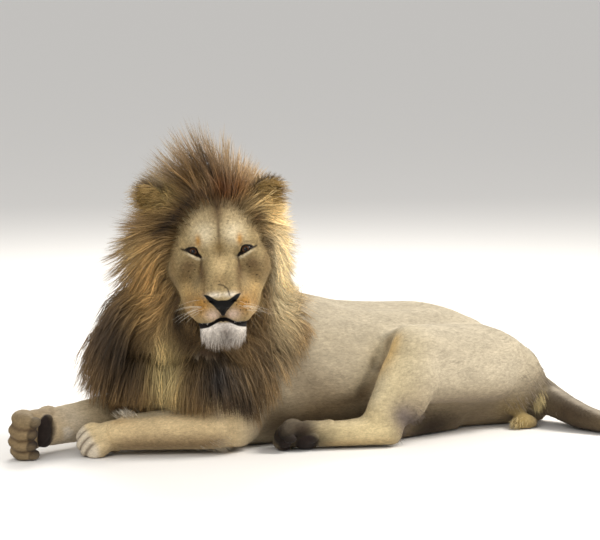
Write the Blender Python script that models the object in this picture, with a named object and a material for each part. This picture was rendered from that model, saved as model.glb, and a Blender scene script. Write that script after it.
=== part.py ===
"""A male lion lying at rest, life size.

Metres, +Z up. The lion faces -X, its left side is -Y. It lies on its chest with the hindquarters
rolled onto the right hip, the head raised and turned to its left. Flesh is built from overlapping
closed masses (balls, tapered bones, lofts) that a voxel Remesh fuses and a Smooth softens. The
pieces are then placed one after another, and each gives way to those that touch it already.
"""

import math

import bmesh
import bpy
from mathutils import Matrix, Vector

# ---------------------------------------------------------------- driving dimensions, metres
FOREPAW_SIZE = 1.12  # scale of a paw whose toes span about 0.13 m
HINDPAW_SIZE = 0.92
EYE_SPACING = 0.154  # between the eyeballs' centres
EYE_RADIUS = 0.0195
TAIL_RADIUS = 0.037  # at the root

HEAD_YAW = math.radians(65.5)  # from straight ahead towards the lion's left
HEAD_PITCH = math.radians(12)  # nose down
HEAD_ROLL = math.radians(2.5)  # the left side up
EYES = Vector((-0.374, -0.200, 0.606))  # midpoint between the eyeballs

GAP = 0.0006  # left between pieces that touch
FLOOR = 0.0

# ---------------------------------------------------------------- skeleton, at rest
ELBOW_L = Vector((-0.300, -0.165, 0.070))
WRIST_L = Vector((-0.600, -0.040, 0.066))
SHOULDER_L = Vector((-0.380, -0.120, 0.235))
ELBOW_R = Vector((-0.380, 0.215, 0.080))
WRIST_R = Vector((-0.765, 0.085, 0.084))
SHOULDER_R = Vector((-0.420, 0.150, 0.245))

HIP_L = Vector((0.600, -0.120, 0.205))
KNEE_L = Vector((0.245, -0.235, 0.278))
HOCK_L = Vector((0.125, -0.305, 0.050))
BALL_L = Vector((-0.075, -0.245, 0.046))  # root of the toes
HIP_R = Vector((0.620, 0.085, 0.120))
KNEE_R = Vector((0.300, 0.130, 0.095))
HOCK_R = Vector((0.440, -0.125, 0.036))
BALL_R = Vector((0.245, -0.190, 0.036))

# Centre line of the tail, root to tip, with its radius as a share of TAIL_RADIUS.
TAIL_ROUTE = (
    (Vector((0.770, -0.085, 0.110)), 1.50),
    (Vector((0.815, -0.180, 0.060)), 1.20),
    (Vector((0.832, -0.320, 0.034)), 1.00),
    (Vector((0.868, -0.465, 0.030)), 0.88),
    (Vector((0.975, -0.550, 0.026)), 0.74),
    (Vector((1.110, -0.600, 0.022)), 0.64),
    (Vector((1.250, -0.585, 0.020)), 0.56),
    (Vector((1.350, -0.520, 0.018)), 0.50),
)
TUFT_ROUTE = (
    (Vector((1.330, -0.535, 0.020)), 0.020),
    (Vector((1.385, -0.485, 0.030)), 0.034),
    (Vector((1.430, -0.420, 0.032)), 0.036),
    (Vector((1.455, -0.350, 0.024)), 0.022),
    (Vector((1.462, -0.300, 0.012)), 0.006),
)

# Across the trunk: place along X, sideways shift of the centre, top, half width.
TRUNK_STATIONS = (
    (-0.430, 0.010, 0.360, 0.120),
    (-0.330, 0.005, 0.420, 0.175),
    (-0.180, 0.000, 0.455, 0.205),
    (-0.030, 0.000, 0.447, 0.215),
    (0.120, 0.002, 0.412, 0.225),
    (0.270, 0.004, 0.396, 0.215),
    (0.420, -0.002, 0.388, 0.195),
    (0.560, -0.012, 0.350, 0.185),
    (0.690, -0.030, 0.285, 0.165),
    (0.765, -0.050, 0.220, 0.135),
    (0.805, -0.060, 0.150, 0.080),
)

# How far the mane reaches from between the eyes, seen from the front of the head: degrees from the
# lion's left over the top of the head, distance.
MANE_REACH = (
    (-60, 0.370),
    (-46, 0.320),
    (-14, 0.236),
    (12, 0.225),
    (37, 0.240),
    (60, 0.275),
    (79, 0.316),
    (97, 0.352),
    (108, 0.358),
    (125, 0.325),
    (143, 0.302),
    (169, 0.288),
    (186, 0.312),
    (202, 0.375),
    (214, 0.420),
)

# Locks of the chest: where they leave the throat, how they bulge and where they end.
CHEST_LOCKS = (
    (Vector((-0.480, 0.060, 0.480)), Vector((-0.620, 0.060, 0.430)), Vector((-0.700, 0.040, 0.290))),
    (Vector((-0.470, 0.080, 0.400)), Vector((-0.630, 0.090, 0.330)), Vector((-0.680, 0.070, 0.190))),
    (Vector((-0.500, -0.020, 0.460)), Vector((-0.620, -0.020, 0.350)), Vector((-0.640, -0.010, 0.165))),
    (Vector((-0.480, -0.090, 0.440)), Vector((-0.555, -0.100, 0.320)), Vector((-0.560, -0.060, 0.150))),
    (Vector((-0.440, -0.150, 0.430)), Vector((-0.490, -0.160, 0.300)), Vector((-0.480, -0.110, 0.145))),
    (Vector((-0.390, -0.180, 0.420)), Vector((-0.430, -0.215, 0.280)), Vector((-0.420, -0.200, 0.130))),
    (Vector((-0.350, -0.190, 0.420)), Vector((-0.375, -0.245, 0.260)), Vector((-0.365, -0.240, 0.105))),
    (Vector((-0.310, -0.190, 0.430)), Vector((-0.325, -0.250, 0.260)), Vector((-0.310, -0.250, 0.085))),
    (Vector((-0.260, -0.190, 0.450)), Vector((-0.265, -0.250, 0.300)), Vector((-0.245, -0.248, 0.140))),
    (Vector((-0.225, -0.180, 0.470)), Vector((-0.200, -0.225, 0.360)), Vector((-0.170, -0.235, 0.240))),
    (Vector((-0.420, 0.140, 0.460)), Vector((-0.560, 0.190, 0.380)), Vector((-0.600, 0.190, 0.210))),
    (Vector((-0.350, 0.180, 0.460)), Vector((-0.450, 0.245, 0.370)), Vector((-0.470, 0.250, 0.200))),
    (Vector((-0.280, 0.190, 0.480)), Vector((-0.330, 0.250, 0.390)), Vector((-0.320, 0.255, 0.230))),
    (Vector((-0.230, 0.170, 0.490)), Vector((-0.210, 0.225, 0.400)), Vector((-0.180, 0.240, 0.290))),
)

COLOURS = {
    "coat": ((0.47, 0.36, 0.23, 1.0), 0.85),
    "mane": ((0.20, 0.14, 0.085, 1.0), 0.80),
    "eye": ((0.23, 0.12, 0.035, 1.0), 0.08),
    "nose_leather": ((0.020, 0.017, 0.016, 1.0), 0.42),
}

placed = []  # objects in the order they took their place


# ---------------------------------------------------------------- masses
def ball(bm, centre, radii, turn=None, sides=20):
    """An ellipsoid, turned about its centre by a 3x3 matrix."""
    pose = Matrix.Translation(centre) @ (turn or Matrix.Identity(3)).to_4x4()
    size = Matrix.Diagonal((*radii, 1.0))
    bmesh.ops.create_uvsphere(bm, u_segments=sides, v_segments=sides // 2, radius=1.0, matrix=pose @ size)


def bone(bm, start, end, start_radius, end_radius):
    """A tapered capsule: the hull of two balls."""
    hull = bmesh.new()
    ball(hull, start, (start_radius,) * 3)
    ball(hull, end, (end_radius,) * 3)
    made = bmesh.ops.convex_hull(hull, input=hull.verts[:])
    inner = set(made["geom_interior"] + made["geom_unused"])
    spare = [item for item in inner if isinstance(item, bmesh.types.BMVert)]
    bmesh.ops.delete(hull, geom=spare, context="VERTS")
    mesh = bpy.data.meshes.new("hull")
    hull.to_mesh(mesh)
    hull.free()
    bm.from_mesh(mesh)
    bpy.data.meshes.remove(mesh)


def chain(bm, links):
    """Tapered capsules through (point, radius) pairs."""
    for (start, start_radius), (end, end_radius) in zip(links, links[1:]):
        bone(bm, start, end, start_radius, end_radius)


def catmull_rom(a, b, c, d, t):
    bend = 2 * a - 5 * b + 4 * c - d
    return 0.5 * (2 * b + (c - a) * t + bend * t**2 + (3 * b - a - 3 * c + d) * t**3)


def smooth_route(knots, steps):
    """Points through the knots, each a tuple of numbers."""
    padded = [knots[0], *knots, knots[-1]]
    route = []
    for before, start, end, after in zip(padded, padded[1:], padded[2:], padded[3:]):
        for step in range(steps):
            knot = zip(before, start, end, after)
            route.append(tuple(catmull_rom(*numbers, step / steps) for numbers in knot))
    return route + [tuple(knots[-1])]


def loft(bm, rings):
    """A closed skin over rings of equally many points, with flat ends."""
    loops = [[bm.verts.new(point) for point in ring] for ring in rings]
    sides = len(loops[0])
    for near, far in zip(loops, loops[1:]):
        for i in range(sides):
            j = (i + 1) % sides
            bm.faces.new((near[i], near[j], far[j], far[i]))
    bm.faces.new(loops[0][::-1])
    bm.faces.new(loops[-1])


def body_from(name, fill):
    """An object that holds the masses as they are."""
    bm = bmesh.new()
    fill(bm)
    bmesh.ops.recalc_face_normals(bm, faces=bm.faces[:])
    mesh = bpy.data.meshes.new(name)
    bm.to_mesh(mesh)
    bm.free()
    body = bpy.data.objects.new(name, mesh)
    bpy.context.scene.collection.objects.link(body)
    return body


def fused(name, fill, voxel, smoothing, triangles):
    """One closed body from overlapping masses, with about that many triangles."""
    body = body_from(name, fill)
    remesh = body.modifiers.new("fuse", "REMESH")
    remesh.mode = "VOXEL"
    remesh.voxel_size = voxel
    soften = body.modifiers.new("soften", "SMOOTH")
    soften.factor = 0.5
    soften.iterations = smoothing
    settle(body)
    body.data.calc_loop_triangles()
    thin = body.modifiers.new("thin_out", "DECIMATE")
    thin.ratio = min(1.0, triangles / len(body.data.loop_triangles))
    settle(body)
    return body


def settle(body):
    """Applies the modifiers."""
    graph = bpy.context.evaluated_depsgraph_get()
    mesh = bpy.data.meshes.new_from_object(body.evaluated_get(graph), depsgraph=graph)
    body.modifiers.clear()
    body.data = mesh


def box_of(body):
    low = Vector(min(v.co[i] for v in body.data.vertices) for i in range(3))
    high = Vector(max(v.co[i] for v in body.data.vertices) for i in range(3))
    return low, high


def near(one, other):
    (low_a, high_a), (low_b, high_b) = box_of(one), box_of(other)
    return all(low_a[i] < high_b[i] + GAP and low_b[i] < high_a[i] + GAP for i in range(3))


def swollen(body):
    """A hidden cutter: the body grown by GAP along its vertex normals."""
    cutter = bpy.data.objects.new(body.name + "_cutter", body.data.copy())
    bpy.context.scene.collection.objects.link(cutter)
    cutter.hide_render = True
    cutter.display_type = "WIRE"
    bm = bmesh.new()
    bm.from_mesh(cutter.data)
    bm.normal_update()
    for vertex in bm.verts:
        vertex.co += vertex.normal * GAP
    bm.to_mesh(cutter.data)
    bm.free()
    return cutter


def keep_largest(body):
    """Drops the crumbs that a cut leaves."""
    bm = bmesh.new()
    bm.from_mesh(body.data)
    bmesh.ops.remove_doubles(bm, verts=bm.verts[:], dist=0.00002)
    todo, islands = set(bm.verts), []
    while todo:
        island, front = set(), [next(iter(todo))]
        while front:
            vertex = front.pop()
            if vertex in island:
                continue
            island.add(vertex)
            front += [edge.other_vert(vertex) for edge in vertex.link_edges]
        todo -= island
        islands.append(island)
    islands.sort(key=len)
    for island in islands[:-1]:
        bmesh.ops.delete(bm, geom=list(island), context="VERTS")
    bmesh.ops.triangulate(bm, faces=bm.faces[:])
    bm.to_mesh(body.data)
    bm.free()


def cut_at_floor(body):
    """Flattens what would sink into the floor to a small flat at floor level."""
    bm = bmesh.new()
    bm.from_mesh(body.data)
    cut = bmesh.ops.bisect_plane(
        bm,
        geom=bm.verts[:] + bm.edges[:] + bm.faces[:],
        dist=0.00001,
        plane_co=(0, 0, FLOOR),
        plane_no=(0, 0, 1),
        clear_inner=True,
    )
    rim = [item for item in cut["geom_cut"] if isinstance(item, bmesh.types.BMEdge)]
    if rim:
        bmesh.ops.holes_fill(bm, edges=rim)
    bmesh.ops.triangulate(bm, faces=bm.faces[:])
    bm.to_mesh(body.data)
    bm.free()


def place(body, finish):
    """Gives the body its finish and its room: it gives way to all that are placed already."""
    cut_at_floor(body)
    for other in placed:
        if not near(body, other):
            continue
        cutter = swollen(other)
        cut = body.modifiers.new("give_way", "BOOLEAN")
        cut.operation = "DIFFERENCE"
        cut.use_self = True
        cut.object = cutter
        settle(body)
        bpy.data.objects.remove(cutter)
    keep_largest(body)
    body.data.materials.clear()
    body.data.materials.append(material(finish))
    body.data.shade_smooth()
    placed.append(body)
    return body


def material(name):
    if name in bpy.data.materials:
        return bpy.data.materials[name]
    made = bpy.data.materials.new(name)
    made.use_nodes = True
    colour, roughness = COLOURS[name]
    surface = made.node_tree.nodes["Principled BSDF"]
    surface.inputs["Base Color"].default_value = colour
    surface.inputs["Roughness"].default_value = roughness
    surface.inputs["Metallic"].default_value = 0.0
    made.diffuse_color = colour
    return made


# ---------------------------------------------------------------- head
HEAD_POSE = (
    Matrix.Translation(EYES)
    @ Matrix.Rotation(HEAD_YAW, 4, "Z")
    @ Matrix.Rotation(-HEAD_PITCH, 4, "Y")
    @ Matrix.Rotation(-HEAD_ROLL, 4, "X")
)
HEAD_TURN = HEAD_POSE.to_3x3()


def on_head(forward, left, up):
    """A point given from the midpoint between the eyes."""
    return HEAD_POSE @ Vector((-forward, -left, up))


def head_ball(bm, place_on_head, forward_left_up_radii, tilt=0.0):
    """An ellipsoid in the head's own directions; tilt turns its front down."""
    turn = HEAD_TURN @ Matrix.Rotation(-tilt, 3, "Y")
    ball(bm, on_head(*place_on_head), forward_left_up_radii, turn)


def head_bone(bm, start, end, start_radius, end_radius):
    bone(bm, on_head(*start), on_head(*end), start_radius, end_radius)


def fill_head(bm):
    head_ball(bm, (-0.095, 0, -0.030), (0.110, 0.146, 0.125))  # the broad mask of the face
    head_ball(bm, (-0.088, 0, 0.045), (0.088, 0.104, 0.086))  # forehead
    for side in (-1, 1):
        head_bone(bm, (0.000, side * 0.044, 0.024), (-0.024, side * 0.100, 0.026), 0.018, 0.018)  # brow
        head_bone(bm, (-0.012, side * 0.022, -0.016), (0.118, side * 0.024, -0.094), 0.034, 0.032)  # bridge
        head_ball(bm, (0.062, side * 0.044, -0.112), (0.074, 0.042, 0.054), 0.2)  # muzzle
        head_ball(bm, (0.100, side * 0.045, -0.138), (0.050, 0.044, 0.046))  # whisker pad
        head_bone(bm, (0.080, side * 0.058, -0.162), (0.010, side * 0.074, -0.160), 0.028, 0.036)  # flews
    head_ball(bm, (-0.085, 0, -0.120), (0.105, 0.092, 0.085))  # throat


def fill_jaw(bm):
    for side in (-1, 1):
        head_ball(bm, (0.088, side * 0.020, -0.206), (0.038, 0.036, 0.036))  # chin
        head_bone(bm, (0.070, side * 0.028, -0.200), (-0.060, side * 0.068, -0.170), 0.034, 0.048)
    head_ball(bm, (0.000, 0, -0.190), (0.080, 0.060, 0.045))


def fill_nose(bm):
    for side in (-1, 1):
        head_ball(bm, (0.150, side * 0.029, -0.098), (0.020, 0.024, 0.015))
    head_ball(bm, (0.150, 0, -0.108), (0.024, 0.034, 0.024))
    head_ball(bm, (0.150, 0, -0.128), (0.018, 0.014, 0.024))


def ear_turn(side):
    leaning = Matrix.Rotation(-side * math.radians(42), 3, "X")
    return HEAD_TURN @ leaning @ Matrix.Rotation(side * math.radians(14), 3, "Z")


def fill_ear(bm, side):
    """A round cup, open to the front."""
    ball(bm, on_head(-0.110, side * 0.152, 0.138), (0.028, 0.048, 0.056), ear_turn(side))
    head_bone(bm, (-0.110, side * 0.090, 0.065), (-0.105, side * 0.125, 0.100), 0.040, 0.038)


def scooped(body, fill, triangles):
    """Hollows the body with a cutter built from masses."""
    cutter = fused(body.name + "_hollow", fill, 0.005, 1, triangles)
    cut = body.modifiers.new("scoop", "BOOLEAN")
    cut.operation = "DIFFERENCE"
    cut.object = cutter
    settle(body)
    bpy.data.objects.remove(cutter)
    return body


def ear(name, side):
    def fill_hollow(bm):
        ball(bm, on_head(-0.078, side * 0.154, 0.142), (0.030, 0.033, 0.041), ear_turn(side))

    return scooped(fused(name, lambda bm: fill_ear(bm, side), 0.006, 4, 110), fill_hollow, 40)


def skull():
    def fill_sockets(bm):
        for side in (-1, 1):
            head_ball(bm, (0.026, side * 0.079, 0.0), (0.026, 0.024, 0.014))

    return scooped(fused("head", fill_head, 0.007, 4, 980), fill_sockets, 70)


def make_head():
    for side, name in ((1, "eye_left"), (-1, "eye_right")):
        centre = on_head(-0.004, side * EYE_SPACING / 2, 0)
        eye = body_from(name, lambda bm: ball(bm, centre, (EYE_RADIUS,) * 3, sides=12))
        place(eye, "eye")
    place(fused("nose", fill_nose, 0.004, 3, 140), "nose_leather")
    place(skull(), "coat")
    place(fused("lower_jaw", fill_jaw, 0.007, 4, 220), "coat")


# ---------------------------------------------------------------- paws and legs
def paw_frame(wrist, toes, back_of_paw):
    """Axes of a paw: along it towards the toes, across it, and out of its back."""
    along = (toes - wrist).normalized()
    across = back_of_paw.cross(along).normalized()
    return Matrix((along, across, along.cross(across))).transposed()


def fill_paw(bm, root, frame, size, curl):
    """Palm, four toes and pads. curl bends the toes towards the palm."""

    def at(along, across, out):
        return root + frame @ (Vector((along, across, out)) * size)

    def lump(centre, radii):
        ball(bm, at(*centre), [r * size for r in radii], frame)

    lump((0.030, 0.0, 0.000), (0.062, 0.052, 0.036))  # palm
    lump((0.040, 0.0, -0.028), (0.034, 0.038, 0.018))  # main pad
    for number, across in enumerate((-0.048, -0.017, 0.017, 0.048)):
        reach = 0.012 if number in (1, 2) else 0.0
        lump((0.074 + reach, across, 0.004), (0.032, 0.020, 0.028))  # knuckle
        lump((0.102 + reach, across * 1.05, -0.006 - curl), (0.026, 0.019, 0.025))  # toe tip
        lump((0.092 + reach, across, -0.026 - curl), (0.020, 0.014, 0.013))  # toe pad


def make_paw(name, root, frame, size, curl, triangles):
    paw = fused(name, lambda bm: fill_paw(bm, root, frame, size, curl), 0.006, 3, triangles)
    place(paw, "coat")


def make_upper_forelegs():
    for name, shoulder, elbow in (("left", SHOULDER_L, ELBOW_L), ("right", SHOULDER_R, ELBOW_R)):
        blade = shoulder + Vector((0.200, -0.030 * math.copysign(1, shoulder.y), 0.090))

        def fill_upper(bm):
            chain(bm, [(elbow, 0.062), (shoulder, 0.088), (blade, 0.085)])

        place(fused("foreleg_" + name + "_upper", fill_upper, 0.014, 5, 110), "coat")


def make_lower_forelegs():
    sides = (
        ("left", ELBOW_L, WRIST_L, Vector((-0.86, 0.10, -0.10)), Vector((-0.10, -0.93, 0.42))),
        ("right", ELBOW_R, WRIST_R, Vector((-0.95, -0.10, -0.12)), Vector((-0.55, 0.80, 0.20))),
    )
    for name, elbow, wrist, toes_along, back in sides:
        frame = paw_frame(wrist, wrist + toes_along, back)
        along = (elbow - wrist).normalized()

        def fill_forearm(bm):
            belly = elbow - along * 0.085 + Vector((0, 0, 0.012))
            chain(bm, [(wrist, 0.050), (belly, 0.062), (elbow, 0.060)])
            ball(bm, elbow + Vector((0.030, 0, -0.005)), (0.050, 0.045, 0.045))

        place(fused("foreleg_" + name + "_forearm", fill_forearm, 0.010, 5, 130), "coat")
        make_paw("forepaw_" + name, wrist, frame, FOREPAW_SIZE, 0.012, 260)


def make_hind_legs():
    down = Vector((0, 0, -1))
    thigh_turn = Matrix.Rotation(math.radians(-4), 3, "Y")

    def fill_left_thigh(bm):
        chain(bm, [(KNEE_L, 0.078), (HIP_L + Vector((-0.08, -0.030, 0.0)), 0.118)])
        ball(bm, HIP_L + Vector((-0.080, -0.010, -0.010)), (0.215, 0.135, 0.128), thigh_turn)
        ball(bm, HIP_L + Vector((0.070, 0.010, -0.050)), (0.130, 0.125, 0.130))

    def fill_right_thigh(bm):
        chain(bm, [(KNEE_R, 0.085), (HIP_R, 0.120)])
        ball(bm, HIP_R + Vector((-0.070, 0.020, 0.0)), (0.190, 0.120, 0.118))

    place(fused("hindleg_left_thigh", fill_left_thigh, 0.012, 6, 240), "coat")
    place(fused("hindleg_right_thigh", fill_right_thigh, 0.014, 6, 130), "coat")
    left_frame = paw_frame(HOCK_L, BALL_L, Vector((0.05, 0.35, 0.94)))
    right_frame = paw_frame(HOCK_R, BALL_R, Vector((0.0, 0.55, 0.80)))
    for name, knee, hock, root, frame in (
        ("left", KNEE_L, HOCK_L, BALL_L, left_frame),
        ("right", KNEE_R, HOCK_R, BALL_R, right_frame),
    ):

        def fill_foot(bm):
            heel = hock + (hock - root).normalized() * 0.020 + down * 0.008
            chain(bm, [(root, 0.040), (hock, 0.044), (heel, 0.040)])

        def fill_shank(bm):
            calf = knee.lerp(hock, 0.35) + Vector((0.035, 0, 0))
            chain(bm, [(hock + Vector((0.005, 0, 0.015)), 0.045), (calf, 0.078), (knee, 0.066)])

        place(fused("hindleg_" + name + "_shank", fill_shank, 0.010, 6, 130), "coat")
        place(fused("hindleg_" + name + "_foot", fill_foot, 0.008, 4, 90), "coat")
        start = root - (root - hock).normalized() * 0.015
        make_paw("hindpaw_" + name, start, frame, HINDPAW_SIZE, 0.010, 210)


# ---------------------------------------------------------------- mane
def mane_reach(degrees):
    for (low, near_reach), (high, far_reach) in zip(MANE_REACH, MANE_REACH[1:]):
        if low <= degrees <= high:
            return near_reach + (far_reach - near_reach) * (degrees - low) / (high - low)
    return MANE_REACH[-1][1]


def lock(bm, root, bulge, tip, width):
    """A lock of hair: thick at the root, bent once, drawn out to the tip."""
    late = bulge.lerp(tip, 0.6)
    chain(bm, [(root, width), (bulge, 0.80 * width), (late, 0.55 * width), (tip, 0.20 * width)])


def face_lock(bm, degrees, share, behind, width):
    """A lock that leaves the edge of the face at an angle and is swept back."""
    turn = math.radians(degrees)
    reach = share * mane_reach(degrees)

    def out(distance, forward):
        return on_head(forward, distance * math.cos(turn), distance * math.sin(turn))

    edge = 0.135 + 0.055 * max(0.0, math.sin(turn)) ** 2
    bulge = out(0.70 * reach, -0.110 - 1.2 * behind)
    lock(bm, out(edge, -0.090 - behind), bulge, out(reach - 0.006, -0.150 - 1.6 * behind), width)


def fill_crown(bm):
    head_ball(bm, (-0.190, 0, 0.110), (0.095, 0.150, 0.120))
    for number in range(11):
        degrees = 32 + 12 * number
        face_lock(bm, degrees, (1.0, 0.90, 0.96)[number % 3], 0.0, 0.040)
        if number < 10:
            face_lock(bm, degrees + 6, (0.90, 0.82)[number % 2], 0.060, 0.048)
        if number % 2:
            face_lock(bm, degrees, 0.76, 0.115, 0.060)


def fill_neck(bm):
    """The neck with the mane that covers it."""
    head_ball(bm, (-0.200, 0, -0.030), (0.120, 0.190, 0.190))
    chain(bm, [(Vector((-0.300, 0.020, 0.560)), 0.180), (Vector((-0.170, 0.000, 0.350)), 0.155)])
    for number in range(6):
        face_lock(bm, -52 + 15 * number, (0.97, 1.0, 0.94)[number % 3], 0.01, 0.046)
    for number in range(6):
        face_lock(bm, 156 + 12 * number, (1.0, 0.95)[number % 2], 0.01, 0.048)
    for side in (-1, 1):
        for rise in (0.0, 0.09, 0.16):
            root = on_head(-0.190, side * (0.15 - 0.4 * rise), rise)
            tip = Vector((-0.100 - 0.1 * rise, -side * (0.175 - 0.7 * rise), 0.310 + 0.8 * rise))
            lock(bm, root, root.lerp(tip, 0.5) + Vector((0, -side * 0.01, 0.01)), tip, 0.062)


def fill_chest(bm):
    turn = Matrix.Rotation(math.radians(-28), 3, "Z")
    ball(bm, Vector((-0.430, -0.010, 0.350)), (0.210, 0.165, 0.180), turn)
    for root, bulge, tip in CHEST_LOCKS:
        lock(bm, root, bulge, tip, 0.058)


# ---------------------------------------------------------------- trunk and tail
def fill_trunk(bm):
    sides = 28
    rings = []
    for x, shift, top, half_width in smooth_route(TRUNK_STATIONS, 3):
        middle = 0.44 * top
        ring = []
        for i in range(sides):
            turn = 2 * math.pi * i / sides
            across, rise = math.cos(turn), math.sin(turn)
            height = (top - middle) * rise if rise > 0 else (middle + 0.02) * rise
            aside = half_width * math.copysign(abs(across) ** 0.9, across)
            ring.append(Vector((x, shift + aside, middle + height)))
        rings.append(ring)
    loft(bm, rings)


def make_tail():
    route = [(*point, share * TAIL_RADIUS) for point, share in TAIL_ROUTE]
    fine = [(Vector(p[:3]), p[3]) for p in smooth_route(route, 3)]
    third = len(fine) // 3
    names = ("tail_base", "tail_middle", "tail_end")
    lengths = (fine[: third + 1], fine[third : 2 * third + 1], fine[2 * third :])
    for name, links in zip(names, lengths):
        place(fused(name, lambda bm: chain(bm, links), 0.008, 3, 110), "coat")
    tuft = [(*point, radius) for point, radius in TUFT_ROUTE]
    tuft_links = [(Vector(p[:3]), p[3]) for p in smooth_route(tuft, 2)]
    place(fused("tail_tuft", lambda bm: chain(bm, tuft_links), 0.006, 2, 96), "mane")


def make_scrotum():
    def fill(bm):
        ball(bm, Vector((0.672, -0.210, 0.018)), (0.050, 0.036, 0.028))

    place(fused("scrotum", fill, 0.006, 3, 76), "coat")


def centre_on_floor():
    """Moves the lion so that the origin is under the middle of its bounding box."""
    lows, highs = zip(*(box_of(body) for body in placed))
    low = Vector(min(p[i] for p in lows) for i in range(3))
    high = Vector(max(p[i] for p in highs) for i in range(3))
    middle = (low + high) / 2
    middle.z = 0
    for body in placed:
        body.data.transform(Matrix.Translation(-middle))


def main():
    for old in list(bpy.data.objects):
        bpy.data.objects.remove(old)
    place(fused("trunk", fill_trunk, 0.016, 5, 540), "coat")
    make_upper_forelegs()
    place(fused("neck", fill_neck, 0.012, 2, 560), "mane")
    place(fused("mane_chest", fill_chest, 0.012, 2, 600), "mane")
    place(ear("ear_left", 1), "coat")
    place(ear("ear_right", -1), "coat")
    place(fused("mane_crown", fill_crown, 0.011, 2, 640), "mane")
    make_head()
    make_lower_forelegs()
    make_hind_legs()
    make_scrotum()
    make_tail()
    centre_on_floor()


main()
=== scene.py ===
"""Looks of a male lion lying at rest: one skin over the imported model's flesh, eyes, coat and mane."""

import math

import bmesh
import bpy
import numpy as np
from mathutils import Matrix, Vector
from mathutils.bvhtree import BVHTree


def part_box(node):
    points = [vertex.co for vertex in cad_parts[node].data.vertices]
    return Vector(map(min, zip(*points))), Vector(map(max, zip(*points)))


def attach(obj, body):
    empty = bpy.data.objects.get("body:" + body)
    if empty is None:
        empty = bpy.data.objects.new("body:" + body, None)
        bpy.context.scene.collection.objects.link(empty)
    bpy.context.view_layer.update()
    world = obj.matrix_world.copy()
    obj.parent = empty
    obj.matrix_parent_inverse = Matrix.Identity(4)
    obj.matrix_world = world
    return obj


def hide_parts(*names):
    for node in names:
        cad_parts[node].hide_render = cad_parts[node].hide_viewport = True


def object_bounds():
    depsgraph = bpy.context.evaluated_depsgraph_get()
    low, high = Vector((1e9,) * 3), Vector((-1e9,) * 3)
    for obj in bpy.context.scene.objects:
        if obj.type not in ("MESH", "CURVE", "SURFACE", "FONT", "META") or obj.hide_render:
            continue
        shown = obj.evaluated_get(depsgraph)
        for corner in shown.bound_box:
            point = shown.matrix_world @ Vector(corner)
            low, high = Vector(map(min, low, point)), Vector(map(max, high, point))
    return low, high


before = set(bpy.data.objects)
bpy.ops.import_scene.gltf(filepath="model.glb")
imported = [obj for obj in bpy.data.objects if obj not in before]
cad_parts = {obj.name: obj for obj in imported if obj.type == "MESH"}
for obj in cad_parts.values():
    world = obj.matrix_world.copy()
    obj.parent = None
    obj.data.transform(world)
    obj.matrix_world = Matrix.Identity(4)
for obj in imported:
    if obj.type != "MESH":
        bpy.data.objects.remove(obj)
cad_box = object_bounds()
rng = np.random.default_rng(20)

# ---------------------------------------------------------------- places, metres
# The lion's own coordinates: it faces -X, its left side is -Y, the floor is at 0.
HEAD_YAW = math.radians(65.5)
HEAD_PITCH = math.radians(12)
HEAD_ROLL = math.radians(2.5)
EYE_RADIUS = 0.0195
EYE_ASIDE = 0.077
EYE_FORWARD = -0.004
GAZE_UP = math.radians(19)  # the eyes look up from the head's own level, at the viewer
EYES_AT = np.array((-0.374, -0.200, 0.606))  # between the eyes, in the lion's own coordinates

CAMERA_FROM = np.array((-5.1222, -9.6335, 1.8457))
CAMERA_TO = np.array((0.0035, 0.0065, 0.5052))
CAMERA_LENS = 217.8  # millimetres
CAMERA_SENSOR = 36
CAMERA_CLIP = 100

BODY_VOXEL = 0.0100
SOFTENING_ROUNDS = 18
HEAD_CELL = 0.0030
HEAD_BOX = ((-0.235, -0.245, -0.275), (0.185, 0.245, 0.225))  # in the head's axes
PAW_CELL = 0.0036
PAW_BOX = ((-0.095, -0.080, -0.070), (0.150, 0.080, 0.060))  # in the paw's axes, at size 1
FLESH_PUFF = 0.0010  # the flesh grows by this before it's fused
UNWRAP_ANGLE = math.radians(70)

# How far above the floor hair stays: short tufts, free hair, the mane.
TUFT_GAP = 0.0012
HAIR_GAP = 0.0015
MANE_GAP = 0.002

# How many strands: the mane's guides, the strands round each, and the hair elsewhere.
RING_GUIDES = 2600
FALL_GUIDES = 2550
PER_GUIDE = 8
GUIDE_POINTS = 8
STRAND_POINTS = 5
COAT_TUFTS = 56000
FACE_TUFTS = 27000
FRINGE_HAIRS = 7000
EAR_HAIRS = 3000
CHIN_HAIRS = 2400
TAIL_HAIRS = 1500
WHISKERS = 22

HAIR_SIDES = 3
ROOTS_APART = 0.009  # of the strands round one guide of the mane
WAVE = 0.0030  # how far the mane's strands swing aside
ROOT_DEPTH = 0.002  # how deep free hair starts in the skin
PIECE_TRIANGLES = 195000  # at most, in one piece of the coat
SEARCH_REACH = 0.12  # how far from a strand the skin is looked for
MANE_PAST = 0.015  # the mane may stand out of the CAD model by this much
PATCH = 0.003  # width of a strand's patch on the unwrap

turn = Matrix.Rotation(HEAD_YAW, 3, "Z") @ Matrix.Rotation(-HEAD_PITCH, 3, "Y")
turn = turn @ Matrix.Rotation(-HEAD_ROLL, 3, "X")
HEAD_AXES = np.array([turn @ Vector(v) for v in ((-1, 0, 0), (0, -1, 0), (0, 0, 1))])  # forward, left, up


def middle_of(node):
    """The middle of a CAD node's box."""
    low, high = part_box(node)
    return (np.array(low) + np.array(high)) / 2


HEAD_AT = (middle_of("eye_left") + middle_of("eye_right")) / 2 - EYE_FORWARD * HEAD_AXES[0]
LION = HEAD_AT - EYES_AT  # from the lion's own coordinates to the frame's
GAZE = np.array((math.cos(GAZE_UP), 0, math.sin(GAZE_UP)))  # in the head's axes


def to_head(points):
    """From the frame to the head's axes: forward, left, up."""
    return (points - HEAD_AT) @ HEAD_AXES.T


def from_head(points):
    return np.asarray(points) @ HEAD_AXES + HEAD_AT


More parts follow.
